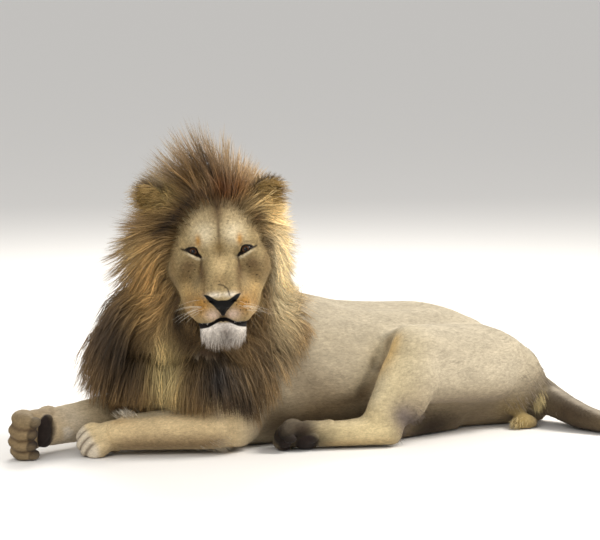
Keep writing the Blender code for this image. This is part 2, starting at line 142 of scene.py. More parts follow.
def level_of(h):
    """Degrees above level from the head's long axis, -90 to 90, the same on both sides."""
    return np.degrees(np.arctan2(h[:, 2], np.abs(h[:, 1])))


def near_head(h):
    """1 on the head, falling to 0 where the neck starts."""
    return smooth(0.31, 0.26, lengths(h + np.array((0, 0, 0.05))))


# ---------------------------------------------------------------- numbers
def colour(tone):
    """A hex tone as linear red, green and blue."""
    parts = [int(tone[i : i + 2], 16) / 255 for i in (0, 2, 4)]
    return np.array([c / 12.92 if c <= 0.04045 else ((c + 0.055) / 1.055) ** 2.4 for c in parts])


def smooth(low, high, x):
    """0 at low, 1 at high, eased between; low may be the greater."""
    t = np.clip((x - low) / (high - low), 0.0, 1.0)
    return t * t * (3 - 2 * t)


def hump(x, width):
    """1 at 0, falling away on both sides."""
    return np.exp(-((x / width) ** 2))


def lengths(v):
    return np.sqrt((v * v).sum(-1))


def unit(v):
    return v / np.maximum(lengths(v), 1e-9)[..., None]


def along_segment(p, a, b):
    """Distance from the segment and the share of the way along it."""
    a, b = np.asarray(a, float), np.asarray(b, float)
    t = np.clip((p - a) @ (b - a) / ((b - a) @ (b - a)), 0, 1)
    return lengths(p - (a + t[:, None] * (b - a))), t


# ---------------------------------------------------------------- implicit head, in the head's axes
def egg(p, centre, radii, tilt=0.0):
    """Distance, nearly, from an ellipsoid; tilt turns its front down."""
    q = p - np.array(centre)
    if tilt:
        c, s = math.cos(tilt), math.sin(tilt)
        q = np.stack((q[:, 0] * c - q[:, 2] * s, q[:, 1], q[:, 0] * s + q[:, 2] * c), 1)
    r = np.array(radii)
    near = lengths(q / r)
    return near * (near - 1) / np.maximum(lengths(q / r**2), 1e-9)


def rod(p, a, b, ra, rb):
    """Distance from a rod whose radius goes from ra to rb."""
    d, t = along_segment(p, a, b)
    return d - (ra + (rb - ra) * t)


def join(a, b, k):
    """Both forms, blended where they come within k of each other."""
    h = np.clip(0.5 + 0.5 * (b - a) / k, 0, 1)
    return b * (1 - h) + a * h - k * h * (1 - h)


def carve(a, b, k):
    """The first form without the second."""
    return -join(-a, b, k)


def wide(p, half):
    """Stretches what is placed on the midline by half to either side."""
    q = p.copy()
    q[:, 1] = np.maximum(q[:, 1] - half, 0)
    return q


def face_mask(p):
    """The head without its nose leather, eyelids and ears."""
    d = egg(p, (-0.095, 0, -0.035), (0.112, 0.152, 0.130))  # the broad mask of the face
    d = join(d, egg(p, (-0.088, 0, 0.045), (0.088, 0.106, 0.088)), 0.030)  # forehead
    d = join(d, egg(p, (-0.085, 0, -0.120), (0.105, 0.092, 0.085)), 0.040)  # throat
    d = join(d, rod(p, (0.004, 0.042, 0.020), (-0.026, 0.102, 0.026), 0.014, 0.014), 0.024)  # brow
    d = join(d, egg(p, (-0.028, 0.088, -0.045), (0.046, 0.050, 0.044)), 0.030)  # below the eye
    d = join(d, rod(wide(p, 0.022), (-0.014, 0, -0.018), (0.118, 0, -0.096), 0.033, 0.031), 0.020)  # bridge
    d = join(d, egg(p, (0.060, 0.044, -0.112), (0.074, 0.042, 0.054), 0.2), 0.024)  # muzzle
    d = join(d, rod(p, (-0.030, 0.098, -0.070), (0.045, 0.070, -0.138), 0.050, 0.034), 0.030)  # cheek
    d = join(d, egg(p, (0.100, 0.043, -0.138), (0.049, 0.041, 0.044)), 0.016)  # whisker pad
    d = join(d, rod(p, (0.080, 0.058, -0.166), (0.000, 0.082, -0.156), 0.027, 0.036), 0.022)  # flews
    return d


def jaw_form(p):
    d = rod(p, (0.064, 0.026, -0.200), (-0.060, 0.070, -0.168), 0.032, 0.050)
    return join(d, egg(wide(p, 0.030), (0.088, 0, -0.208), (0.038, 0.038, 0.040)), 0.02)  # chin


def nose_form(p):
    d = egg(wide(p, 0.014), (0.142, 0, -0.104), (0.021, 0.030, 0.022))
    d = join(d, egg(p, (0.137, 0.037, -0.096), (0.021, 0.019, 0.013), 0.15), 0.010)  # wing
    return join(d, egg(p, (0.133, 0, -0.132), (0.016, 0.012, 0.024)), 0.012)


EAR_AT = np.array((-0.128, 0.182, 0.130))
EAR_RADII = (0.022, 0.042, 0.046)
EAR_SHIFT = (0.008, -0.036)  # outwards from EAR_AT: the right ear, the left ear
ear_turn = Matrix.Rotation(math.radians(-40), 3, "X") @ Matrix.Rotation(math.radians(20), 3, "Z")
EAR_AXES = np.array([ear_turn @ Vector(v) for v in np.eye(3)])  # out of the cup, aside, along the ear


def ear_place(p):
    """Where p is from the middle of its ear, in the head's axes; both sides give the same aside."""
    shift = np.where(p[:, 1] < 0, EAR_SHIFT[0], EAR_SHIFT[1])
    return np.stack((p[:, 0], np.abs(p[:, 1]) - shift, p[:, 2]), 1) - EAR_AT


def ear_form(p):
    """A round cup, leaning out and open to the front."""
    q = ear_place(p) @ EAR_AXES.T
    p = np.stack((p[:, 0], np.abs(p[:, 1]), p[:, 2]), 1)
    cup = egg(q, (0, 0, 0), EAR_RADII)
    cup = carve(cup, egg(q, (0.022, 0, 0.004), (0.032, 0.036, 0.042)), 0.008)
    root = rod(p, (-0.125, 0.090, 0.054), (-0.128, 0.140, 0.096), 0.042, 0.034)
    return join(cup, root, 0.020)


def lid_form(p):
    """The ball of the eyelids, a little larger than the eye."""
    return lengths(p - np.array((EYE_FORWARD, EYE_ASIDE, 0))) - (EYE_RADIUS + 0.0026)


def head_form(p):
    """Signed distance from the skin of the head, mirror-symmetric but for the ears."""
    ears = ear_form(p)
    p = p.copy()
    p[:, 1] = np.abs(p[:, 1])
    d = join(face_mask(p), jaw_form(p), 0.016)
    d = carve(d, egg(p, (0.024, 0.066, -0.006), (0.016, 0.024, 0.012)), 0.016)  # hollow before the eye
    d = join(d, lid_form(p), 0.008)
    d = join(d, nose_form(p), 0.005)
    nostril = rod(p, (0.168, 0.016, -0.104), (0.150, 0.040, -0.100), 0.0040, 0.0050)
    d = carve(d, nostril, 0.004)
    return join(d, ears, 0.016)


def lip_height(x):
    """Where the lips meet, seen from the front, at a distance x from the midline."""
    return -0.2000 - 0.0150 * smooth(0.004, 0.046, x) + 0.004 * smooth(0.062, 0.085, x)


def tear_line(up):
    """How far aside the line runs that leads down from the inner corner of the eye."""
    return 0.054 - 0.10 * (up + 0.02)


def seen(p):
    """Across and up as seen when facing the lion: the camera stands 19 degrees above its gaze."""
    return p[:, 1], p[:, 2] * math.cos(GAZE_UP) - p[:, 0] * math.sin(GAZE_UP)


def fold_face(h):
    """Mouth, philtrum, eye openings and small folds, cut into the settled face (head's axes)."""
    across, up = seen(h)
    x = np.abs(across)
    front = smooth(0.02, 0.06, h[:, 0])
    out = h.copy()
    gap = up - lip_height(x)
    mouth = hump(gap, 0.0032) * front * smooth(0.088, 0.080, x)
    philtrum = hump(x, 0.0022) * smooth(-0.205, -0.200, up) * smooth(-0.165, -0.185, up)
    philtrum *= smooth(0.10, 0.12, h[:, 0])
    out[:, 0] -= 0.007 * np.maximum(mouth, philtrum)
    tear = hump(x - tear_line(up), 0.003) * smooth(-0.005, -0.02, up) * smooth(-0.060, -0.035, up)
    out[:, 0] -= 0.0022 * tear * smooth(-0.03, 0.0, h[:, 0])
    out[:, 0] -= 0.0010 * hump(far_from_line(np.stack((across, up), 1), SCAR), 0.0020) * front
    furrow = hump(across - 0.002 * np.sin(60 * up), 0.004) * smooth(0.0, 0.02, up) * smooth(0.12, 0.08, up)
    out[:, 0] -= 0.0016 * furrow * smooth(-0.09, -0.03, h[:, 0])
    _, height, low, high = at_eye(x, up)
    inside = np.minimum(high - height, height - low)
    before_eye = (h[:, 0] > -0.01) & (x > EYE_ASIDE - 0.0172) & (x < EYE_ASIDE + 0.0198)
    open_eye = smooth(-0.0002, 0.0010, inside) * before_eye
    out -= (0.009 * open_eye)[:, None] * GAZE
    rim = hump(inside, 0.0012) * before_eye
    out += (0.0006 * rim * (1 - open_eye))[:, None] * GAZE
    return out


# Edges of the eye's opening: how far outwards from its centre, how far up.
LOWER_LID = ((-0.0175, -0.010, 0, 0.010, 0.020), (-0.013, -0.0115, -0.006, -0.001, 0.0062))
UPPER_LID = (
    (-0.0175, -0.012, -0.006, 0, 0.012, 0.020),
    (-0.0110, 0.0048, 0.0086, 0.0102, 0.0096, 0.0066),
)


def at_eye(x, up):
    """Outwards and up from the eye's centre, and the lower and upper edge of its opening there."""
    aside, height = x - EYE_ASIDE, up + EYE_FORWARD * math.sin(GAZE_UP)
    return aside, height, np.interp(aside, *LOWER_LID), np.interp(aside, *UPPER_LID)


def lip_share(x, up):
    """1 on the black rims of the lips, which are thicker towards the corners."""
    thick = 0.0030 * smooth(0.03, 0.07, x)
    return smooth(0.0070, 0.0045, np.abs(up - lip_height(x) + thick * 0.67) - thick)


def settled_on(form, p, rounds, step=0.0008):
    """The points moved onto the form's surface."""
    for _ in range(rounds):
        d = form(p)
        slope = np.stack([form(p + step * axis) - d for axis in np.eye(3)], 1) / step
        size = np.maximum(lengths(slope), 0.3)
        p = p - np.clip(d / size, -0.02, 0.02)[:, None] * slope / size[:, None]
    return p


# ---------------------------------------------------------------- meshes
def arrays_of(mesh, what="co"):
    """The place of each vertex, or its normal."""
    found = np.empty(len(mesh.vertices) * 3, np.float32)
    mesh.vertices.foreach_get(what, found)
    return found.reshape(-1, 3).astype(float)


def set_points(mesh, points):
    mesh.vertices.foreach_set("co", np.asarray(points, np.float32).ravel())
    mesh.update()


def evaluated(body):
    """Applies the modifiers to the mesh."""
    graph = bpy.context.evaluated_depsgraph_get()
    mesh = bpy.data.meshes.new_from_object(body.evaluated_get(graph), depsgraph=graph)
    body.modifiers.clear()
    body.data = mesh


def make_object(name, mesh):
    body = bpy.data.objects.new(name, mesh)
    bpy.context.scene.collection.objects.link(body)
    return body


def put(mesh, name, values, kind="FLOAT"):
    """Stores a number or a colour per vertex."""
    layer = mesh.attributes.new(name, kind, "POINT")
    key = {"FLOAT": "value", "FLOAT_COLOR": "color", "FLOAT_VECTOR": "vector"}[kind]
    values = np.asarray(values, np.float32)
    if kind == "FLOAT_COLOR" and values.shape[1] == 3:
        values = np.concatenate((values, np.ones((len(values), 1), np.float32)), 1)
    layer.data.foreach_set(key, values.ravel())


# ---------------------------------------------------------------- skin
NECK = (  # centres and radii of the neck under the mane, in the lion's own coordinates
    ((-0.315, -0.090, 0.560), 0.115),
    ((-0.300, -0.060, 0.500), 0.128),
    ((-0.285, -0.030, 0.430), 0.145),
    ((-0.270, -0.010, 0.350), 0.160),
    ((-0.250, 0.000, 0.280), 0.170),
    ((-0.350, -0.010, 0.260), 0.150),
    ((-0.400, 0.020, 0.360), 0.140),
    ((-0.430, 0.030, 0.300), 0.145),
)
# Muscle that rounds out the legs under the loose skin: start and radius, end and radius.
MUSCLES = (
    ((-0.370, -0.175, 0.072), 0.060, (-0.640, -0.068, 0.062), 0.048),  # left forearm
    ((-0.500, 0.165, 0.078), 0.062, (-0.822, 0.066, 0.072), 0.052),  # right forearm
    ((0.300, -0.245, 0.170), 0.065, (0.560, -0.200, 0.160), 0.070),  # left thigh, lower part
    ((0.268, -0.285, 0.190), 0.050, (0.215, -0.312, 0.100), 0.038),  # left calf
    ((0.178, -0.262, 0.240), 0.035, (0.096, -0.303, 0.108), 0.036),  # left shin
    ((0.765, -0.160, 0.085), 0.048, (0.797, -0.320, 0.046), 0.040),  # tail, at its root
    ((0.797, -0.320, 0.046), 0.040, (0.832, -0.430, 0.028), 0.024),  # tail, after it
)
BALLS_PER_MUSCLE = 12
# These nodes don't go into the fused trunk: they are hair, or come finer, or are covered by NECK.
APART = ("mane_", "eye_", "ear_", "neck", "tail_tuft", "head", "lower_jaw", "nose", "forepaw", "hindpaw")
FLESH = [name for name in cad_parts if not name.startswith(APART)]


def grid_distances(form, low, steps, cell):
    """The form's distance at every grid point, exact near the surface only."""
    coarse = 4
    size = [-(-n // coarse) * coarse for n in steps]
    axes = [low[i] + cell * coarse * (np.arange(size[i] // coarse) + 0.5) for i in range(3)]
    blocks = np.stack(np.meshgrid(*axes, indexing="ij"), -1)
    rough = form(blocks.reshape(-1, 3)).reshape(blocks.shape[:3])
    near = np.abs(rough) < cell * coarse * 1.6
    fine = rough
    for axis in range(3):
        fine, near = np.repeat(fine, coarse, axis), np.repeat(near, coarse, axis)
    spots = np.argwhere(near)
    values = np.concatenate([form(np.array(low) + cell * part) for part in np.array_split(spots, 12)])
    fine = fine.copy()
    fine[tuple(spots.T)] = values
    return fine


def surface_of(form, low, high, cell):
    """Vertices and quads of the form's surface: one vertex in each grid cell that it crosses."""
    steps = [int((high[i] - low[i]) / cell) + 2 for i in range(3)]
    grid = grid_distances(form, low, steps, cell)
    inside = grid < 0
    shape = [n - 1 for n in grid.shape]
    total, count = np.zeros((*shape, 3)), np.zeros(shape)
    corners = [(i, j, k) for i in (0, 1) for j in (0, 1) for k in (0, 1)]
    for start in corners:
        for axis in range(3):
            if start[axis]:
                continue
            end = tuple(start[i] + (i == axis) for i in range(3))
            cut_a = tuple(slice(start[i], start[i] + shape[i]) for i in range(3))
            cut_b = tuple(slice(end[i], end[i] + shape[i]) for i in range(3))
            a, b = grid[cut_a], grid[cut_b]
            crossed = inside[cut_a] != inside[cut_b]
            share = np.where(crossed, a / np.where(crossed, a - b, 1), 0)
            for i in range(3):
                total[..., i] += np.where(crossed, start[i] + (share if i == axis else 0), 0)
            count += crossed
    used = count > 0
    number = np.full(shape, -1)
    number[used] = np.arange(used.sum())
    spots = np.argwhere(used)
    points = np.array(low) + cell * (spots + total[used] / count[used][:, None])
    quads = []
    for axis in range(3):
        one, two = (axis + 1) % 3, (axis + 2) % 3
        ahead = [slice(1, n) for n in shape]
        ahead[axis] = slice(0, shape[axis])
        here = tuple(ahead)
        beyond = tuple(slice(h.start + (i == axis), h.stop + (i == axis)) for i, h in enumerate(here))
        crossed = inside[here] != inside[beyond]
        at = np.argwhere(crossed) + np.array([h.start for h in here])
        flip = inside[tuple(at.T)]
        ring = []
        for da, db in ((0, 0), (1, 0), (1, 1), (0, 1)):
            cell_at = at.copy()
            cell_at[:, one] -= da
            cell_at[:, two] -= db
            ring.append(number[tuple(cell_at.T)])
        ring = np.stack(ring, 1)
        quads.append(np.where(flip[:, None], ring, ring[:, ::-1]))
    return points, np.concatenate(quads)


def mesh_from(name, points, faces):
    """A mesh from arrays whose faces all have as many corners."""
    mesh = bpy.data.meshes.new(name)
    sides = faces.shape[1]
    mesh.vertices.add(len(points))
    mesh.vertices.foreach_set("co", np.asarray(points, np.float32).ravel())
    mesh.loops.add(faces.size)
    mesh.loops.foreach_set("vertex_index", faces.astype(np.int32).ravel())
    mesh.polygons.add(len(faces))
    mesh.polygons.foreach_set("loop_start", np.arange(0, faces.size, sides, dtype=np.int32))
    mesh.update(calc_edges=True)
    return mesh


# Bones, muscles and hollows under the skin: from, to, reach, how far it stands out (the lion's own
# coordinates).
RELIEF = (
    ("spine", (-0.10, 0.000, 0.450), (0.55, 0.000, 0.355), 0.030, -0.003),
    ("left of the spine", (0.10, -0.060, 0.405), (0.55, -0.065, 0.345), 0.030, -0.007),
    ("right of the spine", (0.10, 0.060, 0.405), (0.55, 0.065, 0.345), 0.030, -0.008),
    ("right hip bone", (0.47, 0.095, 0.350), (0.54, 0.105, 0.325), 0.035, 0.010),
    ("right thigh", (0.60, 0.200, 0.130), (0.36, 0.215, 0.110), 0.085, 0.022),
    ("right knee", (0.33, 0.215, 0.100), (0.31, 0.215, 0.070), 0.045, 0.012),
    ("before the right thigh", (0.25, 0.215, 0.060), (0.33, 0.195, 0.270), 0.032, -0.018),
    ("behind the right shoulder", (-0.10, 0.200, 0.340), (-0.13, 0.205, 0.120), 0.035, -0.012),
    ("before the left thigh", (0.182, -0.222, 0.330), (0.150, -0.215, 0.235), 0.018, -0.016),
    ("behind the left knee", (0.150, -0.215, 0.235), (0.100, -0.212, 0.160), 0.020, -0.010),
    ("edge of the left thigh", (0.200, -0.264, 0.300), (0.168, -0.264, 0.220), 0.018, 0.005),
    ("above the rump", (0.60, 0.030, 0.330), (0.72, -0.060, 0.275), 0.075, -0.016),
    ("behind the rump", (0.66, -0.100, 0.295), (0.77, -0.150, 0.215), 0.065, -0.022),
)


def rough_body():
    """Trunk, legs, tail and neck fused by one voxel remesh; head and paws come finer."""
    bm = bmesh.new()
    for name in FLESH:
        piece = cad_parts[name].data.copy()
        points, out = arrays_of(piece), arrays_of(piece, "normal")
        set_points(piece, points + out * FLESH_PUFF)
        bm.from_mesh(piece)
        bpy.data.meshes.remove(piece)
    muscle = [
        (np.array(a) + (np.array(b) - np.array(a)) * t, ra + (rb - ra) * t)
        for a, ra, b, rb in MUSCLES
        for t in np.linspace(0, 1, BALLS_PER_MUSCLE)
    ]
    for centre, radius in (*NECK, *muscle):
        place = Matrix.Translation(Vector(centre) + Vector(LION)) @ Matrix.Diagonal((radius,) * 3 + (1,))
        bmesh.ops.create_icosphere(bm, subdivisions=3, radius=1.0, matrix=place)
    mesh = bpy.data.meshes.new("lion_skin")
    bm.to_mesh(mesh)
    bm.free()
    skin = make_object("lion_skin", mesh)
    fuse = skin.modifiers.new("fuse", "REMESH")
    fuse.mode = "VOXEL"
    fuse.voxel_size = BODY_VOXEL
    evaluated(skin)
    soften(skin.data, SOFTENING_ROUNDS, lambda p: np.clip(body_size(p), 0.25, 1.0))
    p, out = arrays_of(skin.data), arrays_of(skin.data, "normal")
    height = sum(far * hump(along_segment(p - LION, a, b)[0], reach) for _, a, b, reach, far in RELIEF)
    set_points(skin.data, p + out * height[:, None])
    return skin


def body_size(p):
    """How much softening the flesh stands: little at thin parts, much on the trunk."""
    q = p - LION
    tail = smooth(0.80, 0.70, q[:, 0]) + smooth(0.10, 0.16, q[:, 2])
    legs = smooth(-0.36, -0.30, q[:, 0]) + smooth(0.12, 0.17, q[:, 2])
    return np.minimum(np.minimum(tail, legs), 1) * smooth(0.0, 0.10, q[:, 2] + 0.03)


def soften(mesh, rounds, share):
    """Moves each vertex towards the mean of its neighbours, by its share of the rounds."""
    edges = np.empty(len(mesh.edges) * 2, np.int32)
    mesh.edges.foreach_get("vertices", edges)
    one, two = edges.reshape(-1, 2).T
    p = arrays_of(mesh)
    many = len(p)
    links = np.bincount(one, minlength=many) + np.bincount(two, minlength=many)
    speed = 0.5 * share(p)[:, None]
    for _ in range(rounds):
        mean = np.stack(
            [np.bincount(one, p[two, i], many) + np.bincount(two, p[one, i], many) for i in range(3)], 1
        )
        p += speed * (mean / np.maximum(links, 1)[:, None] - p)
    set_points(mesh, p)


def unite(body, other):
    """Adds a closed mesh to the body."""
    union = body.modifiers.new("unite", "BOOLEAN")
    union.operation = "UNION"
    union.solver = "MANIFOLD"
    union.object = other
    evaluated(body)
    bpy.data.objects.remove(other)


def refine(skin, wanted):
    """Splits the edges whose two ends are wanted, once."""
    bm = bmesh.new()
    bm.from_mesh(skin.data)
    bm.verts.ensure_lookup_table()
    keep = wanted(arrays_of(skin.data))
    edges = [e for e in bm.edges if keep[e.verts[0].index] and keep[e.verts[1].index]]
    bmesh.ops.subdivide_edges(bm, edges=edges, cuts=1, use_grid_fill=True, smooth=0.0)
    bm.to_mesh(skin.data)
    bm.free()


def eye_distance(p):
    """Distance from the nearer eye's centre, in the head's axes."""
    return np.sqrt((p[:, 0] - EYE_FORWARD) ** 2 + (np.abs(p[:, 1]) - EYE_ASIDE) ** 2 + p[:, 2] ** 2)


def build_head():
    """The head on its own, in the head's axes, split finer where the face has small folds."""
    points, quads = surface_of(head_form, *HEAD_BOX, HEAD_CELL)
    head = make_object("lion_head", mesh_from("lion_head", points, quads))
    set_points(head.data, settled_on(head_form, arrays_of(head.data), 3))

    def small_folds(p):
        across, up = seen(p)
        x = np.abs(across)
        lips = (np.abs(up - lip_height(x)) < 0.016) & (x < 0.09) & (p[:, 0] > 0.02)
        nose = (x < 0.062) & (up < -0.092) & (p[:, 0] > 0.08)
        return lips | nose | (eye_distance(p) < 0.038)

    refine(head, small_folds)
    refine(head, lambda p: eye_distance(p) < 0.031)
    p = settled_on(head_form, arrays_of(head.data), 4)
    set_points(head.data, from_head(fold_face(p)))
    return head


# Left and right forepaw, left and right hind paw: root, towards the toes, out of the back (the lion's
# own directions), size, bend of the toes.
PAWS = (
    ((-0.632, -0.048, 0.064), (-0.92, 0.06, -0.24), (-0.20, -0.56, 0.80), 0.94, 0.010),
    ((-0.836, 0.060, 0.084), (-0.78, -0.52, -0.12), (-0.45, 0.88, 0.15), 1.14, 0.012),
    ((-0.0780, -0.2430, 0.0463), (-0.200, 0.060, -0.004), (0.05, 0.62, 0.78), 0.94, 0.010),
    ((0.2273, -0.1780, 0.0360), (-0.195, -0.065, 0.0), (0.0, 0.55, 0.80), 0.92, 0.010),
)
FORETOE_TIPS = ("d3cabb", "6e5c40")  # tones, left and right
TOES = ((0.0, -0.044), (0.012, -0.0155), (0.012, 0.0155), (0.0, 0.044))  # how far forward, across


def paw_axes(along, back):
    """Rows: towards the toes, across, out of the back."""
    along = unit(np.array(along, float))
    across = unit(np.cross(back, along))
    return np.stack((along, across, np.cross(along, across)))


def to_paw(p, paw):
    """From the frame to a paw's own axes and size."""
    root, along, back, size, _ = paw
    return (p - LION - np.array(root)) @ paw_axes(along, back).T / size


def paw_form(q, curl):
    """Palm, toes and pads in the paw's own axes, at size 1."""
    d = egg(q, (0.038, 0, 0.000), (0.070, 0.052, 0.036))
    d = join(d, rod(q, (-0.045, 0, 0.003), (0.020, 0, 0.004), 0.040, 0.034), 0.020)
    pad = egg(q, (0.034, 0, -0.028), (0.030, 0.040, 0.018))
    for side in (-1, 1):
        pad = join(pad, egg(q, (0.020, 0.027 * side, -0.028), (0.024, 0.018, 0.016)), 0.005)
    d = join(d, pad, 0.004)
    for reach, across in TOES:
        toe = egg(q, (0.078 + reach, across, 0.006), (0.034, 0.0190, 0.027))
        toe = join(toe, egg(q, (0.100 + reach, across * 1.02, -0.004 - curl), (0.024, 0.0195, 0.024)), 0.014)
        toe = join(toe, egg(q, (0.092 + reach, across, -0.028 - curl), (0.020, 0.0135, 0.013)), 0.003)
        d = join(d, toe, 0.012)
    return d


def build_paw(paw):
    """A paw in its place, as a mesh of its own."""
    root, along, back, size, curl = paw

    def form(q):
        return paw_form(q, curl)

    points, quads = surface_of(form, *PAW_BOX, PAW_CELL / size)
    points = settled_on(form, points, 3)
    points = points * size @ paw_axes(along, back) + np.array(root) + LION
    return make_object("paw", mesh_from("paw", points, quads))


def on_floor(mesh):
    """What would sink in lies flat on the floor."""
    p = arrays_of(mesh)
    p[:, 2] = np.where(p[:, 2] < 0.004, 0.0006 + 0.0034 * smooth(-0.012, 0.006, p[:, 2]), p[:, 2])
    set_points(mesh, p)


def build_skin():
    """One closed skin: fused trunk, four paws and the head."""
    skin = rough_body()
    for paw in PAWS:
        unite(skin, build_paw(paw))
    unite(skin, build_head())
    on_floor(skin.data)
    unwrap(skin)
    skin.data.shade_smooth()
    return skin


def unwrap(skin):
    """An unwrap of the skin's own shape; the coat's roots find their place on it."""
    bpy.context.view_layer.objects.active = skin
    skin.select_set(True)
    bpy.ops.object.mode_set(mode="EDIT")
    bpy.ops.mesh.select_all(action="SELECT")
    bpy.ops.uv.smart_project(angle_limit=UNWRAP_ANGLE, island_margin=0.001)
    bpy.ops.object.mode_set(mode="OBJECT")
    skin.select_set(False)
    skin.data.uv_layers[0].name = "OFBake"


# ---------------------------------------------------------------- colours
RIGHTWARD = np.array((0.8946, -0.4468, 0.0))  # seen from where the lion looks
TOWARDS = np.array((-0.4431, -0.8878, 0.1242))
UPWARD = np.cross(TOWARDS, RIGHTWARD)


def frontal(p):
    """Across and up from between the eyes, as an onlooker in front of the face sees it."""
    q = p - LION - EYES_AT
    return q @ RIGHTWARD, q @ UPWARD


def ripple(p, size):
    """Uneven waves between -1 and 1, about size across."""
    a = p / size
    one = np.sin(a @ (1.3, 2.1, 0.7) + 1.7 * np.sin(a @ (0.9, -0.6, 1.9)))
    two = np.sin(a @ (-1.9, 0.8, 1.6) + 1.3 * np.sin(a @ (1.1, 1.7, -0.5) + 1.0))
    return (one + two) / 2


def blended(base, tone, share):
    """The colours mixed with a tone, by a share for each point."""
    return base * (1 - share[:, None]) + colour(tone) * share[:, None]


def spot(x, y, centre, radii):
    """1 at the centre of a soft oval."""
    return np.exp(-(((x - centre[0]) / radii[0]) ** 2) - ((y - centre[1]) / radii[1]) ** 2)


# Mane: name, middle (across, up), reach (across, up), tone, strength; a few tones are painted shade or
# painted light.
MANE_TONES = (
    ("withers and back of the neck", (0.32, 0.02), (0.22, 0.20), "a88a5c", 0.6),
    # Right side of the mane: darker hair, partly painted shade on the side away from the light.
    ("right side, outer, partly painted shade", (-0.350, -0.250), (0.110, 0.170), "6e5a44", 0.9),
    ("right side, dark, partly painted shade", (-0.285, -0.300), (0.085, 0.130), "30261c", 0.95),
    ("right side, inner gold", (-0.212, -0.095), (0.062, 0.130), "d2aa6c", 1.0),
    ("right side, upper pale", (-0.275, -0.010), (0.040, 0.060), "ab9262", 0.8),
    ("chest, olive streak", (-0.160, -0.370), (0.042, 0.100), "dfc88c", 1.0),
    # Painted shadow: the mane beside the jaw and the chin darkened as if in shade.
    ("painted shadow below the cheek", (-0.122, -0.205), (0.030, 0.070), "22160c", 0.9),
    ("painted shadow beside the chin", (-0.090, -0.290), (0.035, 0.050), "3e2c18", 0.8),
    ("below the chin", (0.000, -0.380), (0.085, 0.120), "2c2520", 1.0),
    # Pale blond hair on the left side, partly painted light falling from the upper right.
    ("left side, pale, partly painted light", (0.195, -0.060), (0.052, 0.210), "f6e4b8", 1.0),
    ("left side, inner", (0.130, -0.130), (0.026, 0.140), "76582f", 0.85),
    ("left side, by the temple", (0.146, 0.010), (0.020, 0.050), "5e4524", 0.8),
    ("shoulder", (0.130, -0.330), (0.070, 0.085), "6c583e", 0.8),
    ("upper arm", (0.080, -0.470), (0.070, 0.060), "30271f", 0.9),
    ("right of the crown", (-0.190, 0.170), (0.055, 0.050), "a48e56", 0.9),
    ("crown, right rim", (-0.235, 0.215), (0.050, 0.045), "5a5044", 0.85),
    ("crown, middle", (-0.045, 0.265), (0.060, 0.055), "4a331a", 0.95),
    ("crown, right of the middle", (-0.100, 0.215), (0.040, 0.040), "6a4d28", 0.8),
    ("crown, dark parting", (0.010, 0.180), (0.034, 0.050), "6c3c12", 1.0),
    ("crown, rust", (0.055, 0.185), (0.042, 0.034), "7c4c1c", 0.9),
    ("crown, roots", (-0.035, 0.160), (0.050, 0.032), "54341a", 0.7),
    ("left of the crown", (0.150, 0.120), (0.060, 0.060), "e6c98c", 0.95),
    ("left side, hairline", (0.116, 0.092), (0.022, 0.042), "5a3614", 0.85),
    ("right side, streak", (-0.130, 0.118), (0.022, 0.028), "4e3516", 0.75),
    ("right side, streak, lower", (-0.172, 0.068), (0.024, 0.034), "523a1a", 0.75),
    ("crown, tips", (-0.060, 0.375), (0.140, 0.050), "8c7768", 0.7),
    ("crown, left tips", (0.050, 0.300), (0.055, 0.050), "b99a72", 0.85),
)


def mane_colour(p):
    """The mane's markings and some painted shade and light; a dark parting runs down from the crown below the
    right ear.
    """
    x, y = frontal(p)
    rgb = np.tile(colour("8c7048"), (len(p), 1))
    for _, middle, reach, tone, strength in MANE_TONES:
        rgb = blended(rgb, tone, strength * spot(x, y, middle, reach))
    parting, _ = along_segment(np.stack((x, y), 1), (-0.190, 0.045), (-0.060, 0.168))
    rgb = blended(rgb, "2c1c0e", 0.9 * hump(parting, 0.014))
    h = to_head(p)
    return blended(rgb, "8f7850", 0.7 * smooth(-0.20, -0.34, h[:, 0]))


def far_from(p, start, end):
    """Distance in the frame from a segment given in the lion's own coordinates."""
    return along_segment(p - LION, start, end)[0]
